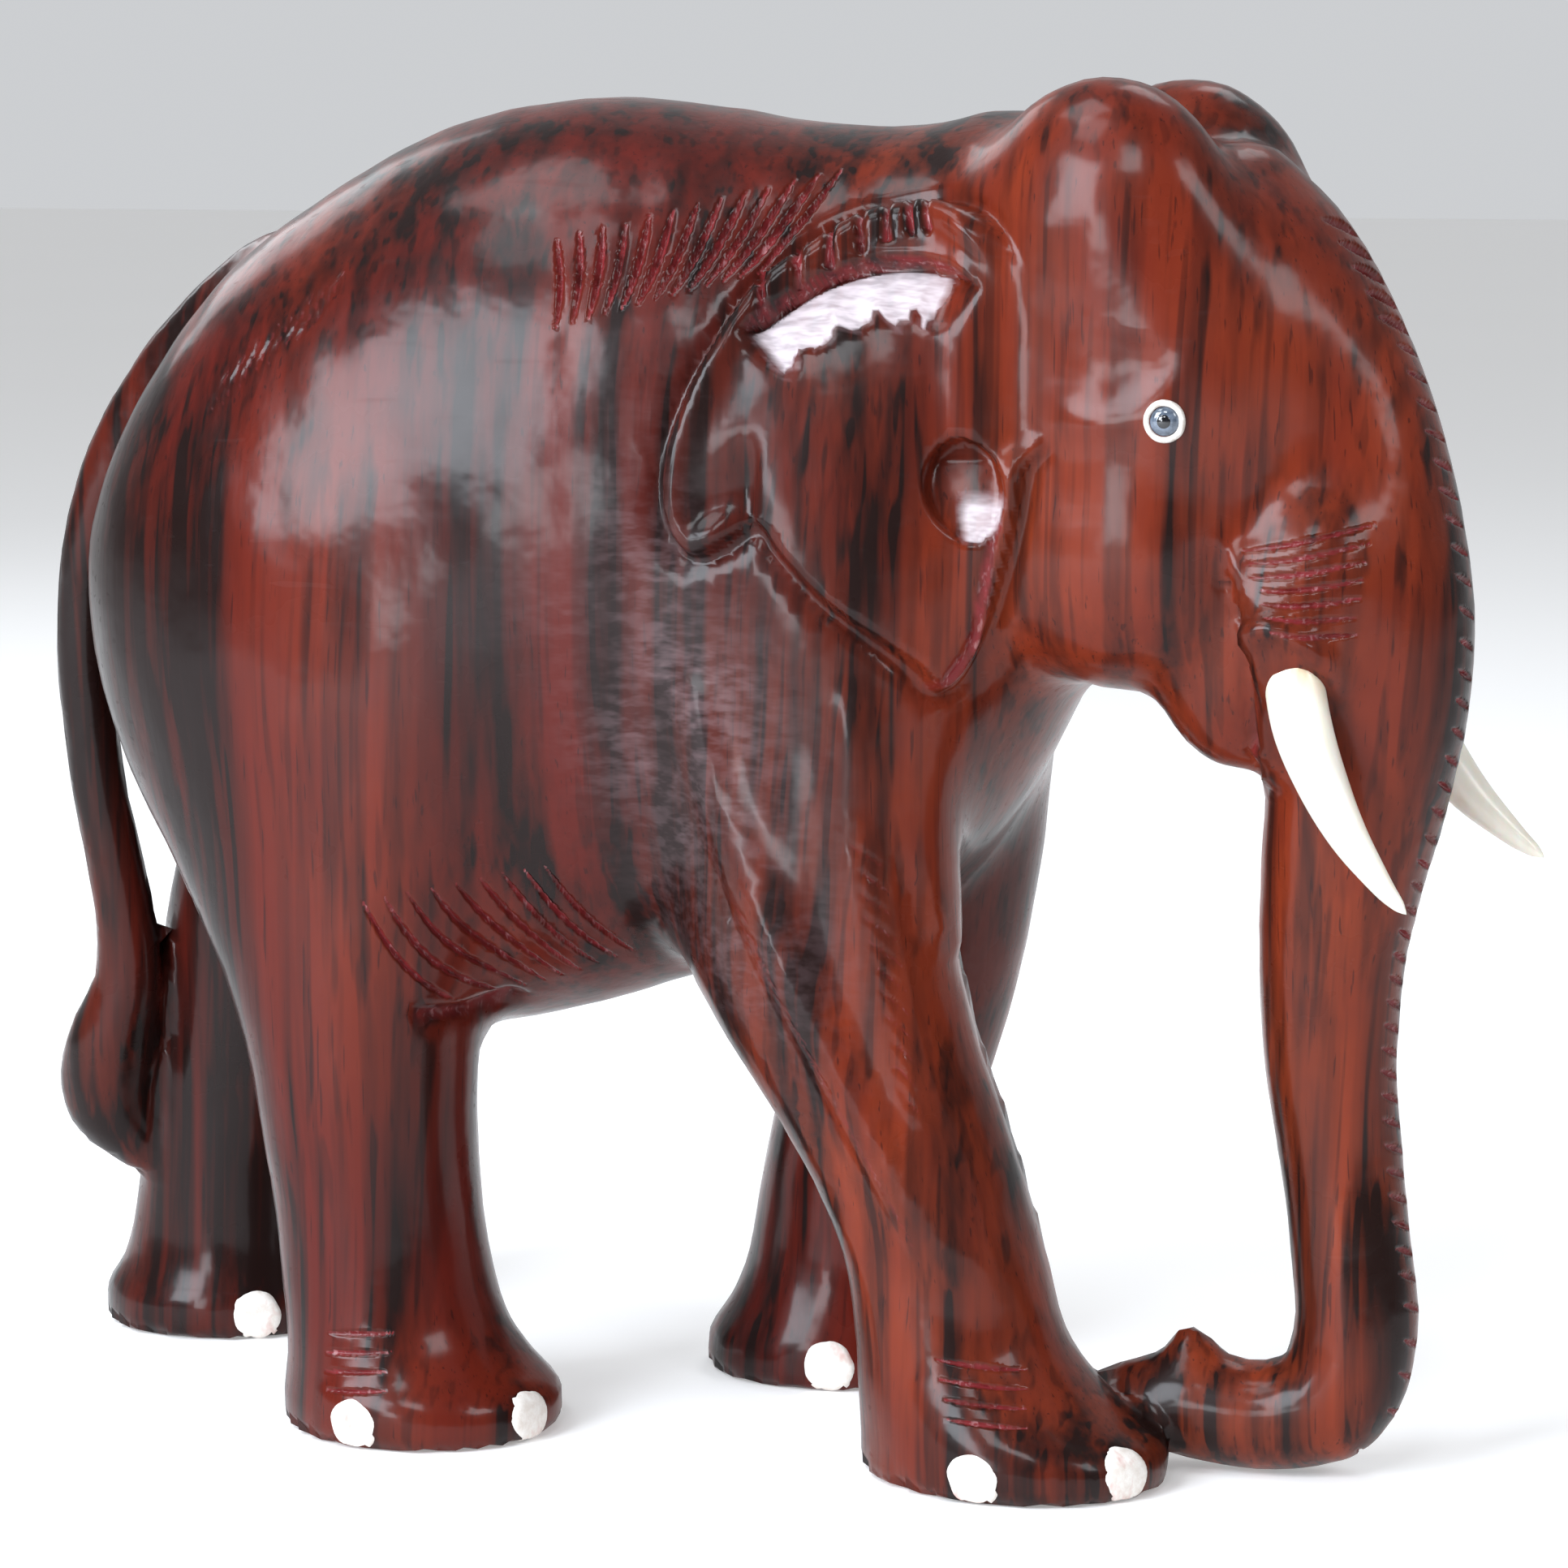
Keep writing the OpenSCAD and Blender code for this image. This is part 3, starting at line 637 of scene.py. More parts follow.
def refine(points, faces, wanted, levels):
    # split the faces near the knife work, finer each time
    mesh = bpy.data.meshes.new("draft")
    mesh.from_pydata(points.tolist(), [], faces.tolist())
    bm = bmesh.new()
    bm.from_mesh(mesh)
    for level in range(1, levels + 1):
        co = np.array([v.co for v in bm.verts])
        want = wanted(co, level)
        bm.verts.index_update()
        edges = [e for e in bm.edges if want[e.verts[0].index] or want[e.verts[1].index]]
        bmesh.ops.subdivide_edges(bm, edges=edges, cuts=1, use_grid_fill=True)
        bm.verts.index_update()
    big = [f for f in bm.faces if len(f.verts) > 4]
    bmesh.ops.triangulate(bm, faces=big)
    bpy.data.meshes.remove(mesh)
    return bm


def nearKnife(co, level, cuts):
    # corners whose faces need splitting at this level
    H = toHead(co)
    loop = np.array(ear["outline"])
    m = nearEar(H)
    Q = H[m][:, [0, 2]]
    near = np.zeros(len(co), bool)
    if level < 3:
        edge = lineDistance(Q, np.vstack([loop, loop[:1]]))[0]
        inside = insideLoop(Q, loop)
    if level == 1:
        near[m] = inside | (edge < 2.5)
        near |= inBox(H, [60, -24, 76], [82, 24, 108]) & (np.abs(H[:, 1]) > 4)
        near |= inBox(H, [46, -24, 108], [66, -10, 126])
    if level == 2:
        near[m] = (edge < 1.1) | ((Q[:, 1] > 120) & inside & (edge < 9) & (Q[:, 0] < 41))
        near[m] |= np.hypot((Q[:, 0] - 37.4) / 6, (Q[:, 1] - 106) / 7) < 1
    reach = (2.2, 1.1, 0.3)[level - 1]
    for line, half, _ in cuts:
        if level == 3 and half < faintStroke:
            continue
        m = inBox(co, line.min(0) - reach, line.max(0) + reach)
        if m.any():
            near[m] |= lineDistance(co[m], line)[0] < half + reach
    return near


def pressCuts(co, cuts, up, raw):
    # each stroke is fat in the middle, thin at its ends and a little ragged
    for line, half, depth in cuts:
        m = inBox(co, line.min(0) - 2, line.max(0) + 2)
        if not m.any():
            continue
        d, place = lineDistance(co[m], line)
        fat = np.sin(math.pi * np.clip(place, 0.02, 0.98)) ** 0.45
        ragged = 1 + 0.15 * np.sin(place * 61 + half * 40)
        cut = np.clip(1.25 - d / (half * fat * ragged), 0, 1)
        up[m] -= depth * fat * cut
        raw[m] = np.maximum(raw[m], np.clip(cut * 1.6, 0, 1) * (0.35 if half < 0.25 else 1))


def carveBody():
    points, faces = skinNet(block["cell"])
    points = settle(points, 2)
    cuts = strokeList() + notchList()
    print("net", len(points), "cuts", len(cuts))
    bm = refine(points, faces, lambda co, level: nearKnife(co, level, cuts), 3)
    co = settle(np.array([v.co for v in bm.verts]), 1)
    g = slope(co)[0]
    H = toHead(co)
    up = np.zeros(len(co))
    raw = np.zeros(len(co))
    legRidges(co, up)
    faceWork(H, up, raw)
    thighFold(co, up, raw)
    earUp, earRaw, pale = earRelief(H)
    up = up + earUp + tooling(co) * ramp(co[:, 2], 0.5, 3)
    raw = np.maximum(raw, earRaw)
    pressCuts(co, cuts, up, raw)
    co = co + g / np.linalg.norm(g, axis=1)[:, None] * up[:, None]
    co[:, 2] = np.maximum(co[:, 2], 0)
    co[:, 0] += midX
    for v, p in zip(bm.verts, co * unit):
        v.co = p
    mesh = bpy.data.meshes.new("carvedBlock")
    bm.normal_update()
    bm.to_mesh(mesh)
    bm.free()
    # lacquer rubbed thin on the shoulders and down the front legs, with a painted sheen there; painted
    # highlights on the ear's facets count above 1
    rubbedAndSheen = bump(np.hypot((co[:, 0] - 4 - 0.3 * (82 - co[:, 2])) / 10, (co[:, 2] - 80) / 26), 1.0)
    rubbedAndSheen = np.where(pale > 0.02, 1 + pale, rubbedAndSheen)
    for name, values in (("freshCut", raw), ("rubbedAndSheen", rubbedAndSheen)):
        mesh.attributes.new(name, "FLOAT", "POINT").data.foreach_set("value", values.astype(np.float32))
    mesh.polygons.foreach_set("use_smooth", [True] * len(mesh.polygons))
    obj = bpy.data.objects.new("carvedBlock", mesh)
    bpy.context.collection.objects.link(obj)
    return obj


carved = carveBody()
print("carved block", sum(len(p.vertices) - 2 for p in carved.data.polygons), "triangles")


def meshObject(name, points, faces, cadNode, slotName):
    mesh = bpy.data.meshes.new(name)
    mesh.from_pydata([tuple(p) for p in points], [], [tuple(f) for f in faces])
    mesh.validate()
    mesh.polygons.foreach_set("use_smooth", [True] * len(mesh.polygons))
    obj = bpy.data.objects.new(name, mesh)
    bpy.context.collection.objects.link(obj)
    bm = bmesh.new()
    bm.from_mesh(mesh)
    bmesh.ops.recalc_face_normals(bm, faces=bm.faces)
    bm.to_mesh(mesh)
    bm.free()
    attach(obj, "root")
    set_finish(obj, slotName)
    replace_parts(obj, cadNode)
    return obj


def ringFaces(rows, around):
    # quads between rings of points, with a fan at each end
    faces = []
    last = rows * around
    for k in range(around):
        j = (k + 1) % around
        for i in range(rows - 1):
            faces.append((i * around + k, i * around + j, (i + 1) * around + j, (i + 1) * around + k))
        faces.append((last, j, k))
        faces.append((last + 1, (rows - 1) * around + k, (rows - 1) * around + j))
    return faces


def lathe(profile, around, wobble=0.0):
    # radius and height pairs turned about the axis, closed at both ends
    points = []
    for r, h in profile:
        for k in range(around):
            a = k / around * 2 * math.pi
            q = r * (1 + wobble * (math.sin(2 * a + 1) + 0.6 * math.sin(5 * a)))
            points.append((q * math.cos(a), q * math.sin(a), h))
    points += [(0, 0, profile[0][1]), (0, 0, profile[-1][1])]
    return np.array(points), ringFaces(len(profile), around)


tusk = {
    "root": [71.6, 13.5, 88.6],      # mouth of the socket, in the head's own frame
    "width": 6.6,
    "around": 40,
    # forward, down, share of the width: first the peg in its socket, then the tusk outside it
    "pegRows": [[0, 6, 0.62], [0, 2.4, 0.64], [-0.1, 1.6, 0.86]],
    "rows": [[0, 0, 1], [1.2, -6, 0.99], [3.2, -11.4, 0.87], [6.2, -17, 0.66], [9.8, -21.8, 0.4],
             [11.8, -24, 0.23], [12.6, -24.8, 0.09]],
    "splay": 5,                      # degrees out from upright
    "lean": {-1: -4, 1: -10},        # how far right and left ones point forward
}


def makeTusk(name, side):
    r = np.vstack([tusk["pegRows"], curveThrough(tusk["rows"], 6)])
    points = []
    n = tusk["around"]
    for i, (x, z, share) in enumerate(r):
        near = r[max(i - 1, 0)], r[min(i + 1, len(r) - 1)]
        way = np.array([near[1][0] - near[0][0], 0, near[1][1] - near[0][1]])
        way = way / np.linalg.norm(way)
        across = np.array([-way[2], 0, way[0]])
        radius = tusk["width"] / 2 * share
        for k in range(n):
            a = k / n * 2 * math.pi
            wave = 1 + 0.012 * math.sin(3 * a + i * 0.35) + 0.008 * math.sin(5 * a - i * 0.5)
            around = math.cos(a) * across + np.array([0, 0.94 * math.sin(a), 0])
            points.append(np.array([x, 0, z]) + radius * wave * around)
    points += [np.array([r[0][0], 0, r[0][1]]), np.array([r[-1][0] + 0.3, 0, r[-1][1] - 0.3])]
    P = np.array(points)
    P[:, 1] += side * 0.15 * np.maximum(P[:, 0], 0)
    splay = Matrix.Rotation(math.radians(side * tusk["splay"]), 3, "X")
    lean = Matrix.Rotation(math.radians(tusk["lean"][side]), 3, "Y")
    P = P @ np.array(splay @ lean).T + np.array(tusk["root"]) * [1, side, 1]
    P = fromHead(P) + [midX, 0, 0]
    return meshObject(name, P * unit, ringFaces(len(r), n), name, "ivory_white")


eye = {
    "place": [59.1, 115.0],          # in the head's own x, z
    "ring": 4.5, "bead": 3.3, "pupil": 1.6,      # widths across
}


def makeEye(sideName, side):
    # turned shapes set square to the skin, their backs about 2 under it
    spot = ontoSkin([np.array([eye["place"]])], [side], [True])[0][0]
    out = Vector(slope(spot[None])[0][0]).normalized()
    turn = out.to_track_quat("Z", "X").to_matrix()
    ring, bead, pupil = eye["ring"] / 2, eye["bead"] / 2, eye["pupil"] / 2
    shapes = {
        "ring": lathe([(bead - 0.05, -2), (ring, -2), (ring + 0.02, -0.1), (ring - 0.12, 0.22),
                       (ring - 0.34, 0.36), (bead + 0.05, 0.3), (bead - 0.06, 0.1),
                       (bead - 0.08, -0.5)], 44, 0.012),
        "bead": lathe([(0.6, -1.9), (bead - 0.09, -1.9), (bead - 0.09, -0.05), (bead * 0.86, 0.14),
                       (bead * 0.6, 0.3), (pupil * 1.02, 0.36)], 40),
        "pupil": lathe([(pupil, -0.9), (pupil, 0.3), (pupil * 0.8, 0.42), (pupil * 0.5, 0.5),
                        (pupil * 0.2, 0.53)], 28),
    }
    for part, (points, faces) in shapes.items():
        P = points @ np.array(turn).T + spot + [midX, 0, 0]
        name = f"eye_{part}_{sideName}"
        meshObject(name, P * unit, faces, name, f"eye_{part}")


nail = {
    "width": 6.1,
    "depth": 2.6,                    # how far the plug goes in
    "proud": 0.12,
    "height": 2.9,
    # from straight ahead, outward side positive
    "turns": {"front_right": [-80, 10, 72], "front_left": [-94, 6, 78],
              "hind_right": [-80, 0, 82], "hind_left": [-72, 6, 78]},
}
# middle x and y, half length, half width and turn where the nails sit
feet = {
    "front_right": (38.4, -20.5, 17.4, 14.6, -18),
    "front_left": (5, 20.5, 15.4, 14.6, 18),
    "hind_right": (-30.9, -20.5, 16, 14.8, -18),
    "hind_left": (-73.4, 20.5, 15.4, 14.6, 18),
}


def makeNail(foot, k):
    x, y, a, b, turn = feet[foot]
    side = 1 if y > 0 else -1
    t = math.radians(side * nail["turns"][foot][k])
    reach = a * b / math.hypot(b * math.cos(t), a * math.sin(t))
    way = t + math.radians(turn)
    out = np.array([math.cos(way), math.sin(way), 0])
    across = np.array([-math.sin(way), math.cos(way), 0])
    middle = np.array([x, y, nail["height"]]) + out * reach
    around, rings = 36, 6
    # the back of the plug, its rim, then smaller rings over its face
    radii = [1.0] * 2 + [1 - i / rings for i in range(1, rings)]
    seed = list(feet).index(foot) * 3 + k + 1.0      # no two nails are cut alike
    P = []
    for share in radii:
        for j in range(around):
            c = j / around * 2 * math.pi
            wave = 1 + 0.05 * math.sin(2 * c + seed) + 0.02 * math.sin(5 * c + 2.1 * seed)
            wave += 0.008 * math.sin(9 * c)
            r = nail["width"] / 2 * share * (wave if share > 0.5 else 1)
            P.append(middle + across * r * math.cos(c) + np.array([0, 0, r * math.sin(c)]))
    P.append(middle - out * nail["depth"])
    P.append(middle)
    P = np.array(P)
    P[:, 2] = np.maximum(P[:, 2], 0.06)      # cut off with the sole
    front = np.ones(len(P), bool)
    front[:around] = False
    front[-2] = False
    # slide every face point along the peg until it meets the skin
    low, high = np.full(front.sum(), -6.0), np.full(front.sum(), 6.0)
    for _ in range(14):
        mid = (low + high) / 2
        inside = blockField(P[front] + out * mid[:, None]) < 0
        low, high = np.where(inside, mid, low), np.where(inside, high, mid)
    share = np.append(np.array(radii[1:]).repeat(around), 0.0)
    crown = nail["proud"] * (1 - share ** 4) + 0.04 - 0.25 * (share > 0.99)
    P[front] += out * (mid + crown)[:, None]
    P[:around] += out * (-nail["depth"])
    P[:, 0] += midX
    name = f"nail_{foot}_{k + 1}"
    return meshObject(name, P * unit, ringFaces(len(radii), around), name, "nail_white")


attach(carved, "root")
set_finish(carved, "rosewood")
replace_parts(carved, "body")
bothSides = (("right", -1), ("left", 1))
for sideName, side in bothSides:
    makeTusk("tusk_" + sideName, side)
for sideName, side in bothSides:
    makeEye(sideName, side)
for foot in feet:
    for k in range(3):
        makeNail(foot, k)
print("tusks, eyes and nails set")


def finish(name, **fixed):
    m = bpy.data.materials.new(name)
    m.use_nodes = True
    nt = m.node_tree
    nt.nodes.clear()
    out = nt.nodes.new("ShaderNodeOutputMaterial")
    shader = nt.nodes.new("ShaderNodeBsdfPrincipled")
    nt.links.new(shader.outputs[0], out.inputs[0])
    for key, value in fixed.items():
        shader.inputs[key.replace("_", " ")].default_value = value
    return m, nt, shader


def knot(nt, kind, props=None, **inputs):
    # one node, with its sockets set or wired
    n = nt.nodes.new("ShaderNode" + kind)
    for key, value in (props or {}).items():
        setattr(n, key, value)
    for key, value in inputs.items():
        # i0, i1 and so on are sockets by number, the others by name
        numbered = key[0] == "i" and key[1:].isdigit()
        socket = n.inputs[int(key[1:]) if numbered else key.replace("_", " ")]
        if isinstance(value, bpy.types.NodeSocket):
            nt.links.new(value, socket)
        else:
            socket.default_value = value
    return n


def stretch(nt, along, turn=(0, 0, 0)):
    where = knot(nt, "TexCoord").outputs["Object"]
    return knot(nt, "Mapping", Vector=where, Scale=along, Rotation=turn).outputs[0]


def even(nt):
    return stretch(nt, (1, 1, 1))


def noise(nt, where, scale, detail=3.0, rough=0.55):
    return knot(nt, "TexNoise", Vector=where, Scale=scale, Detail=detail, Roughness=rough).outputs[0]


def between(nt, value, low, high, a=0.0, b=1.0):
    return knot(nt, "MapRange", i0=value, i1=low, i2=high, i3=a, i4=b).outputs[0]


def sums(nt, kind, a, b):
    return knot(nt, "Math", {"operation": kind}, i0=a, i1=b).outputs[0]


def added(nt, total, value, share):
    return sums(nt, "ADD", total, sums(nt, "MULTIPLY", value, share))


def tint(nt, share, a, b):
    return knot(nt, "Mix", {"data_type": "RGBA", "blend_type": "MIX"}, i0=share, i6=a, i7=b).outputs[2]


def relief(nt, height, strength, distance, under=None):
    n = knot(nt, "Bump", Height=height, Strength=strength, Distance=distance)
    if under is not None:
        nt.links.new(under, n.inputs["Normal"])
    return n.outputs[0]


wood = {
    "dark": (0.007, 0.004, 0.0036, 1),
    "red": (0.080, 0.0078, 0.0050, 1),
    "warm": (0.190, 0.028, 0.009, 1),
    "cut": (0.17, 0.017, 0.020, 1),
    "fleckAndGlint": (0.50, 0.28, 0.29, 1),
    # the first is a dusty tint that also paints sheen on the shoulder, the second a painted highlight for
    # the ear's facets
    "rubbedAndSheen": (0.23, 0.15, 0.16, 1), "pale": (0.60, 0.53, 0.56, 1),
    "bandWidth": 0.011,              # metres from one dark band to the next, near enough
}


def rosewood():
    m, nt, shader = finish("rosewood", Coat_Weight=0.28, Coat_Roughness=0.15, Coat_IOR=1.5, IOR=1.45,
                           Specular_IOR_Level=0.09)
    # bands run up the block, bent a little by slow noise
    bandRate = 1 / wood["bandWidth"]
    slow = noise(nt, stretch(nt, (1, 1, 0.35)), 22, 2)
    drift = knot(nt, "TexNoise", Vector=stretch(nt, (1, 1, 0.4)), Scale=18, Detail=1).outputs[1]
    lean = knot(nt, "VectorMath", {"operation": "MULTIPLY"}, i0=drift, i1=(0.014, 0.014, 0.001)).outputs[0]

    def bent(run, tilt):
        where = stretch(nt, (1, 0.6, run), tilt)
        return knot(nt, "VectorMath", {"operation": "ADD"}, i0=where, i1=lean).outputs[0]

    broad = noise(nt, bent(0.07, (0.03, 0.06, 0)), bandRate, 2, 0.5)
    narrow = noise(nt, bent(0.03, (0.02, 0.05, 0)), bandRate * 3.6, 2, 0.5)
    lines = noise(nt, bent(0.022, (0.025, 0.055, 0)), bandRate * 9, 1, 0.5)
    fine = noise(nt, stretch(nt, (1, 1, 0.025), (0.02, 0.05, 0)), 900, 2, 0.5)
    mottle = noise(nt, stretch(nt, (1, 1, 0.5)), 140, 3, 0.6)
    darkness = sums(nt, "MULTIPLY", between(nt, broad, 0.42, 0.60), 0.75)
    darkness = added(nt, darkness, between(nt, narrow, 0.44, 0.62), 0.6)
    darkness = added(nt, darkness, between(nt, lines, 0.56, 0.66), 0.45)
    darkness = added(nt, darkness, between(nt, fine, 0.4, 0.7), 0.25)
    # darker towards the tail, warmer towards the head and in slow patches
    ahead = knot(nt, "SeparateXYZ", Vector=knot(nt, "TexCoord").outputs["Object"]).outputs[0]
    darkness = sums(nt, "ADD", darkness, between(nt, ahead, -38 * unit, -76 * unit, 0.0, 0.55))
    darkness = between(nt, darkness, 0.12, 1.35, 0.0, 0.97)
    warmth = sums(nt, "ADD", between(nt, ahead, 0.0, 60 * unit, 0.0, 0.5),
                  between(nt, slow, 0.42, 0.66, 0.0, 0.6))
    warmth = sums(nt, "MULTIPLY", warmth, between(nt, mottle, 0.3, 0.7, 0.55, 1.1))
    ground = tint(nt, warmth, wood["red"], wood["warm"])
    colour = tint(nt, darkness, ground, wood["dark"])
    # pores: short dark dashes along the grain
    pores = between(nt, noise(nt, stretch(nt, (1, 1, 0.05)), 2300, 1), 0.66, 0.74)
    colour = tint(nt, sums(nt, "MULTIPLY", pores, 0.55), colour, (0.01, 0.004, 0.004, 1))
    # fresh cuts: rough, crimson, with pale broken fibres that also serve as painted glints
    fresh = knot(nt, "Attribute", {"attribute_name": "freshCut"}).outputs["Fac"]
    fibresAndGlints = between(nt, noise(nt, stretch(nt, (1, 1, 0.4)), 1500, 2), 0.56, 0.7)
    inside = tint(nt, sums(nt, "MULTIPLY", fibresAndGlints, 0.45), wood["cut"], wood["fleckAndGlint"])
    broken = between(nt, noise(nt, even(nt), 420, 2), 0.35, 0.6, 0.35, 1.0)
    share = sums(nt, "MULTIPLY", between(nt, fresh, 0.15, 0.8), broken)
    colour = tint(nt, share, colour, inside)
    # rubbed places: dusty streaks on the shoulder that also paint its sheen, and painted highlights on the
    # ear's facets
    wornAndSheen = knot(nt, "Attribute", {"attribute_name": "rubbedAndSheen"}).outputs["Fac"]
    thinAndSheen = between(nt, wornAndSheen, 0.0, 1.0)
    streaks = noise(nt, stretch(nt, (0.3, 1, 1), (0.0, 0.7, 0.0)), 900, 2, 0.6)
    clouds = noise(nt, even(nt), 75, 4, 0.65)
    thinAndSheen = sums(nt, "MULTIPLY", thinAndSheen, between(nt, clouds, 0.38, 0.62, 0.15, 1.0))
    dustAndSheen = sums(nt, "MULTIPLY", thinAndSheen, between(nt, streaks, 0.40, 0.62, 0.08, 0.5))
    colour = tint(nt, dustAndSheen, colour, wood["rubbedAndSheen"])
    # painted highlight: pale glints on the ear's scoops and the hollow's lower part
    glint = between(nt, streaks, 0.35, 0.6, 0.55, 0.9)
    glint = sums(nt, "MULTIPLY", between(nt, wornAndSheen, 1.1, 1.8), glint)
    colour = tint(nt, glint, colour, wood["pale"])
    nt.links.new(colour, shader.inputs["Base Color"])
    # lacquer: patches of hand polish, dust and fine scratches
    wear = noise(nt, even(nt), 46, 4, 0.65)
    scratch = between(nt, noise(nt, stretch(nt, (0.06, 1, 1), (0.5, 0.7, 0.9)), 900, 1), 0.68, 0.72)
    rough = added(nt, between(nt, wear, 0.35, 0.75, 0.24, 0.46), share, 0.4)
    rough = added(nt, rough, scratch, 0.12)
    rough = added(nt, rough, thinAndSheen, 0.15)
    nt.links.new(rough, shader.inputs["Roughness"])
    grain = relief(nt, fine, 0.25, 0.00012)
    nt.links.new(relief(nt, wear, 0.35, 0.0006, grain), shader.inputs["Normal"])
    ripple = relief(nt, noise(nt, even(nt), 170, 3), 0.12, 0.0003)
    nt.links.new(relief(nt, wear, 0.28, 0.0006, ripple), shader.inputs["Coat Normal"])
    return m


def ivory():
    m, nt, shader = finish("polishedIvory", Coat_Weight=0.35, Coat_Roughness=0.12, IOR=1.5,
                           Subsurface_Weight=0.25, Subsurface_Scale=0.003)
    up = knot(nt, "SeparateXYZ", Vector=knot(nt, "TexCoord").outputs["Object"]).outputs[2]
    rootZ = tusk["root"][2] * unit
    layers = noise(nt, stretch(nt, (1, 1, 0.25), (0, 0.4, 0)), 420, 3)
    colour = tint(nt, between(nt, layers, 0.35, 0.7), (0.80, 0.76, 0.64, 1), (0.86, 0.84, 0.76, 1))
    # a little amber glue at the root
    glue = between(nt, up, rootZ - 4 * unit, rootZ + unit)
    stain = sums(nt, "MULTIPLY", glue, between(nt, layers, 0.3, 0.7, 0.2, 0.9))
    colour = tint(nt, stain, colour, (0.55, 0.30, 0.10, 1))
    nt.links.new(colour, shader.inputs["Base Color"])
    nt.links.new(between(nt, layers, 0.3, 0.75, 0.28, 0.45), shader.inputs["Roughness"])
    nt.links.new(relief(nt, layers, 0.2, 0.0001), shader.inputs["Normal"])
    return m


def chalkWhite():
    m, nt, shader = finish("chalkWhite", IOR=1.45)
    chips = noise(nt, even(nt), 900, 4, 0.7)
    patches = noise(nt, stretch(nt, (1, 1, 0.6)), 330, 3, 0.6)
    colour = tint(nt, between(nt, chips, 0.35, 0.7), (0.74, 0.67, 0.61, 1), (0.90, 0.87, 0.83, 1))
    stain = sums(nt, "MULTIPLY", between(nt, patches, 0.55, 0.72), 0.7)
    colour = tint(nt, stain, colour, (0.55, 0.20, 0.17, 1))
    nt.links.new(colour, shader.inputs["Base Color"])
    nt.links.new(between(nt, chips, 0.3, 0.7, 0.55, 0.8), shader.inputs["Roughness"])
    nt.links.new(relief(nt, chips, 0.2, 0.0001), shader.inputs["Normal"])
    return m


def eyeFinish(name, low, high, rough, **fixed):
    m, nt, shader = finish(name, **fixed)
    cloud = noise(nt, even(nt), 1400, 3)
    nt.links.new(tint(nt, between(nt, cloud, 0.35, 0.65), low, high), shader.inputs["Base Color"])
    nt.links.new(between(nt, cloud, 0.3, 0.7, rough, rough + 0.12), shader.inputs["Roughness"])
    nt.links.new(relief(nt, cloud, 0.15, 0.00005), shader.inputs["Normal"])
    return m


finishes = {
    "rosewood": rosewood(),
    "ivory_white": ivory(),
    "nail_white": chalkWhite(),
    "eye_ring": eyeFinish("eyeBone", (0.52, 0.47, 0.42, 1), (0.80, 0.77, 0.73, 1), 0.42),
    "eye_bead": eyeFinish("eyeGlass", (0.05, 0.065, 0.09, 1), (0.13, 0.16, 0.21, 1), 0.08,
                          Coat_Weight=0.8, Coat_Roughness=0.03),
    "eye_pupil": eyeFinish("eyeBlack", (0.002, 0.002, 0.003, 1), (0.008, 0.008, 0.01, 1), 0.06,
                           Coat_Weight=0.8, Coat_Roughness=0.03),
}
for obj in bpy.data.objects:
    if "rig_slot" in obj and obj["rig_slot"] in finishes and obj.type == "MESH" and "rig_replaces" in obj:
        obj.data.materials.clear()
        obj.data.materials.append(finishes[obj["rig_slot"]])
print("finishes on")


studio = {
    "azimuth": 18.93, "elevation": 7.45, "distance": 0.5908, "lens": 120,
    "target": (5 + midX, 0.57, 71.59),
    "sky": (0.15, 0.64),            # strength in front of the figure and behind it
    # azimuth, elevation, distance, size, watts, colour
    "lights": {
        "windowFront": (-28, 23, 1.1, 0.54, 15.0, (0.86, 0.92, 1.0)),
        "skyLeft": (-32, 54, 1.0, 0.3, 1.8, (0.90, 0.95, 1.0)),
        "overhead": (-62, 66, 0.95, 0.34, 2.4, (0.92, 0.96, 1.0)),
        "windowLow": (-12, 5, 1.1, 0.2, 1.8, (0.90, 0.95, 1.0)),
        "windowHigh": (8, 38, 1.0, 0.22, 1.8, (0.92, 0.96, 1.0)),
        "sideRight": (66, 30, 1.1, 0.3, 2.6, (0.95, 0.97, 1.0)),
        "rimLeft": (-125, 30, 1.0, 0.4, 1.8, (0.92, 0.96, 1.0)),
        "rimBack": (172, 56, 0.95, 0.34, 1.4, (0.95, 0.97, 1.0)),
    },
}
scale = unit / 0.001                # 1 when a unit is a millimetre
target = Vector(studio["target"]) * unit


def aroundTarget(azimuth, elevation, distance):
    a, e = math.radians(azimuth), math.radians(elevation)
    way = Vector((math.sin(a) * math.cos(e), -math.cos(a) * math.cos(e), math.sin(e)))
    return target + way * distance * scale


def aim(obj, place):
    obj.location = place
    obj.rotation_euler = (target - place).to_track_quat("-Z", "Y").to_euler()
    bpy.context.collection.objects.link(obj)


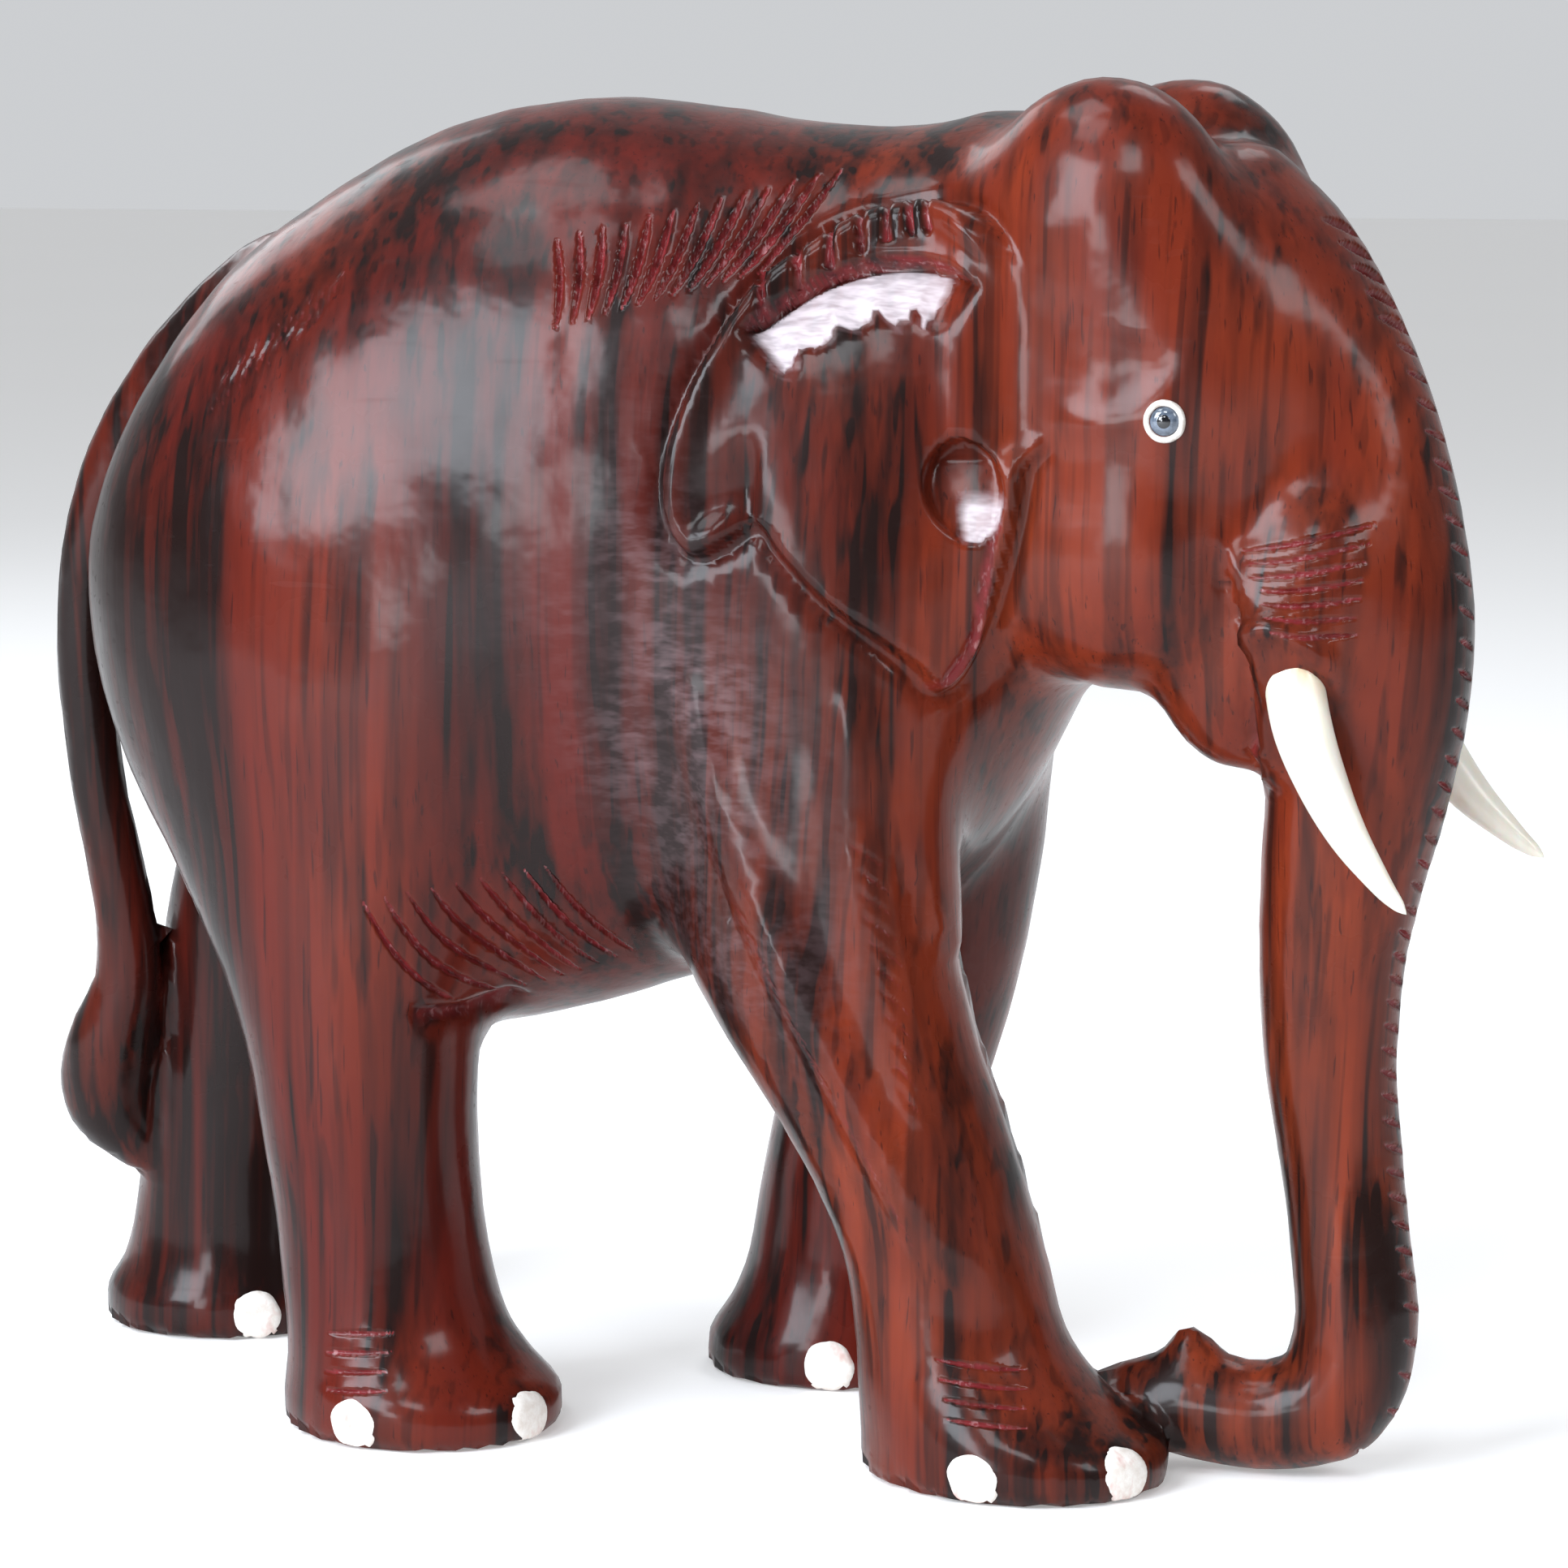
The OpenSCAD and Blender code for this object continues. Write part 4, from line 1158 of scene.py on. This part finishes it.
camData = bpy.data.cameras.new("camera")
camData.lens = studio["lens"]
camData.sensor_width = 36
camData.clip_start = 0.01
cam = bpy.data.objects.new("camera", camData)
aim(cam, aroundTarget(studio["azimuth"], studio["elevation"], studio["distance"]))
bpy.context.scene.camera = cam

for name, (azimuth, elevation, distance, size, watts, colour) in studio["lights"].items():
    lamp = bpy.data.lights.new(name, "AREA")
    lamp.size = size * scale
    lamp.energy = watts * scale ** 2
    lamp.color = colour
    aim(bpy.data.objects.new(name, lamp), aroundTarget(azimuth, elevation, distance))

floorMesh = bpy.data.meshes.new("floor")
floorHalf = 6 * scale
floorCorners = [(x * floorHalf, y * floorHalf, 0) for x, y in ((-1, -1), (1, -1), (1, 1), (-1, 1))]
floorMesh.from_pydata(floorCorners, [], [(0, 1, 2, 3)])
floor = bpy.data.objects.new("floor", floorMesh)
bpy.context.collection.objects.link(floor)
floorFinish, floorNodes, floorShader = finish("paleFloor")
floorCloud = noise(floorNodes, even(floorNodes), 3, 2)
floorColour = tint(floorNodes, floorCloud, (0.83, 0.83, 0.83, 1), (0.87, 0.87, 0.87, 1))
floorNodes.links.new(floorColour, floorShader.inputs["Base Color"])
floorShader.inputs["Roughness"].default_value = 0.7
floorShader.inputs["Emission Color"].default_value = (1, 1, 1, 1)
floorShader.inputs["Emission Strength"].default_value = 0.29      # a light table, so it stays pale far off
floorMesh.materials.append(floorFinish)

sky = bpy.data.worlds.new("studioSky")
sky.use_nodes = True
skyNodes = sky.node_tree
# dim in front of the figure and bright behind it, so the lacquer stays dark
toward = knot(skyNodes, "SeparateXYZ", Vector=knot(skyNodes, "TexCoord").outputs["Generated"]).outputs[1]
glow = between(skyNodes, toward, -0.2, 0.75, *studio["sky"])
backdrop = skyNodes.nodes["Background"]
backdrop.inputs["Color"].default_value = (0.95, 0.97, 1.0, 1)
skyNodes.links.new(glow, backdrop.inputs["Strength"])
bpy.context.scene.world = sky
bpy.context.scene.view_settings.view_transform = "Standard"
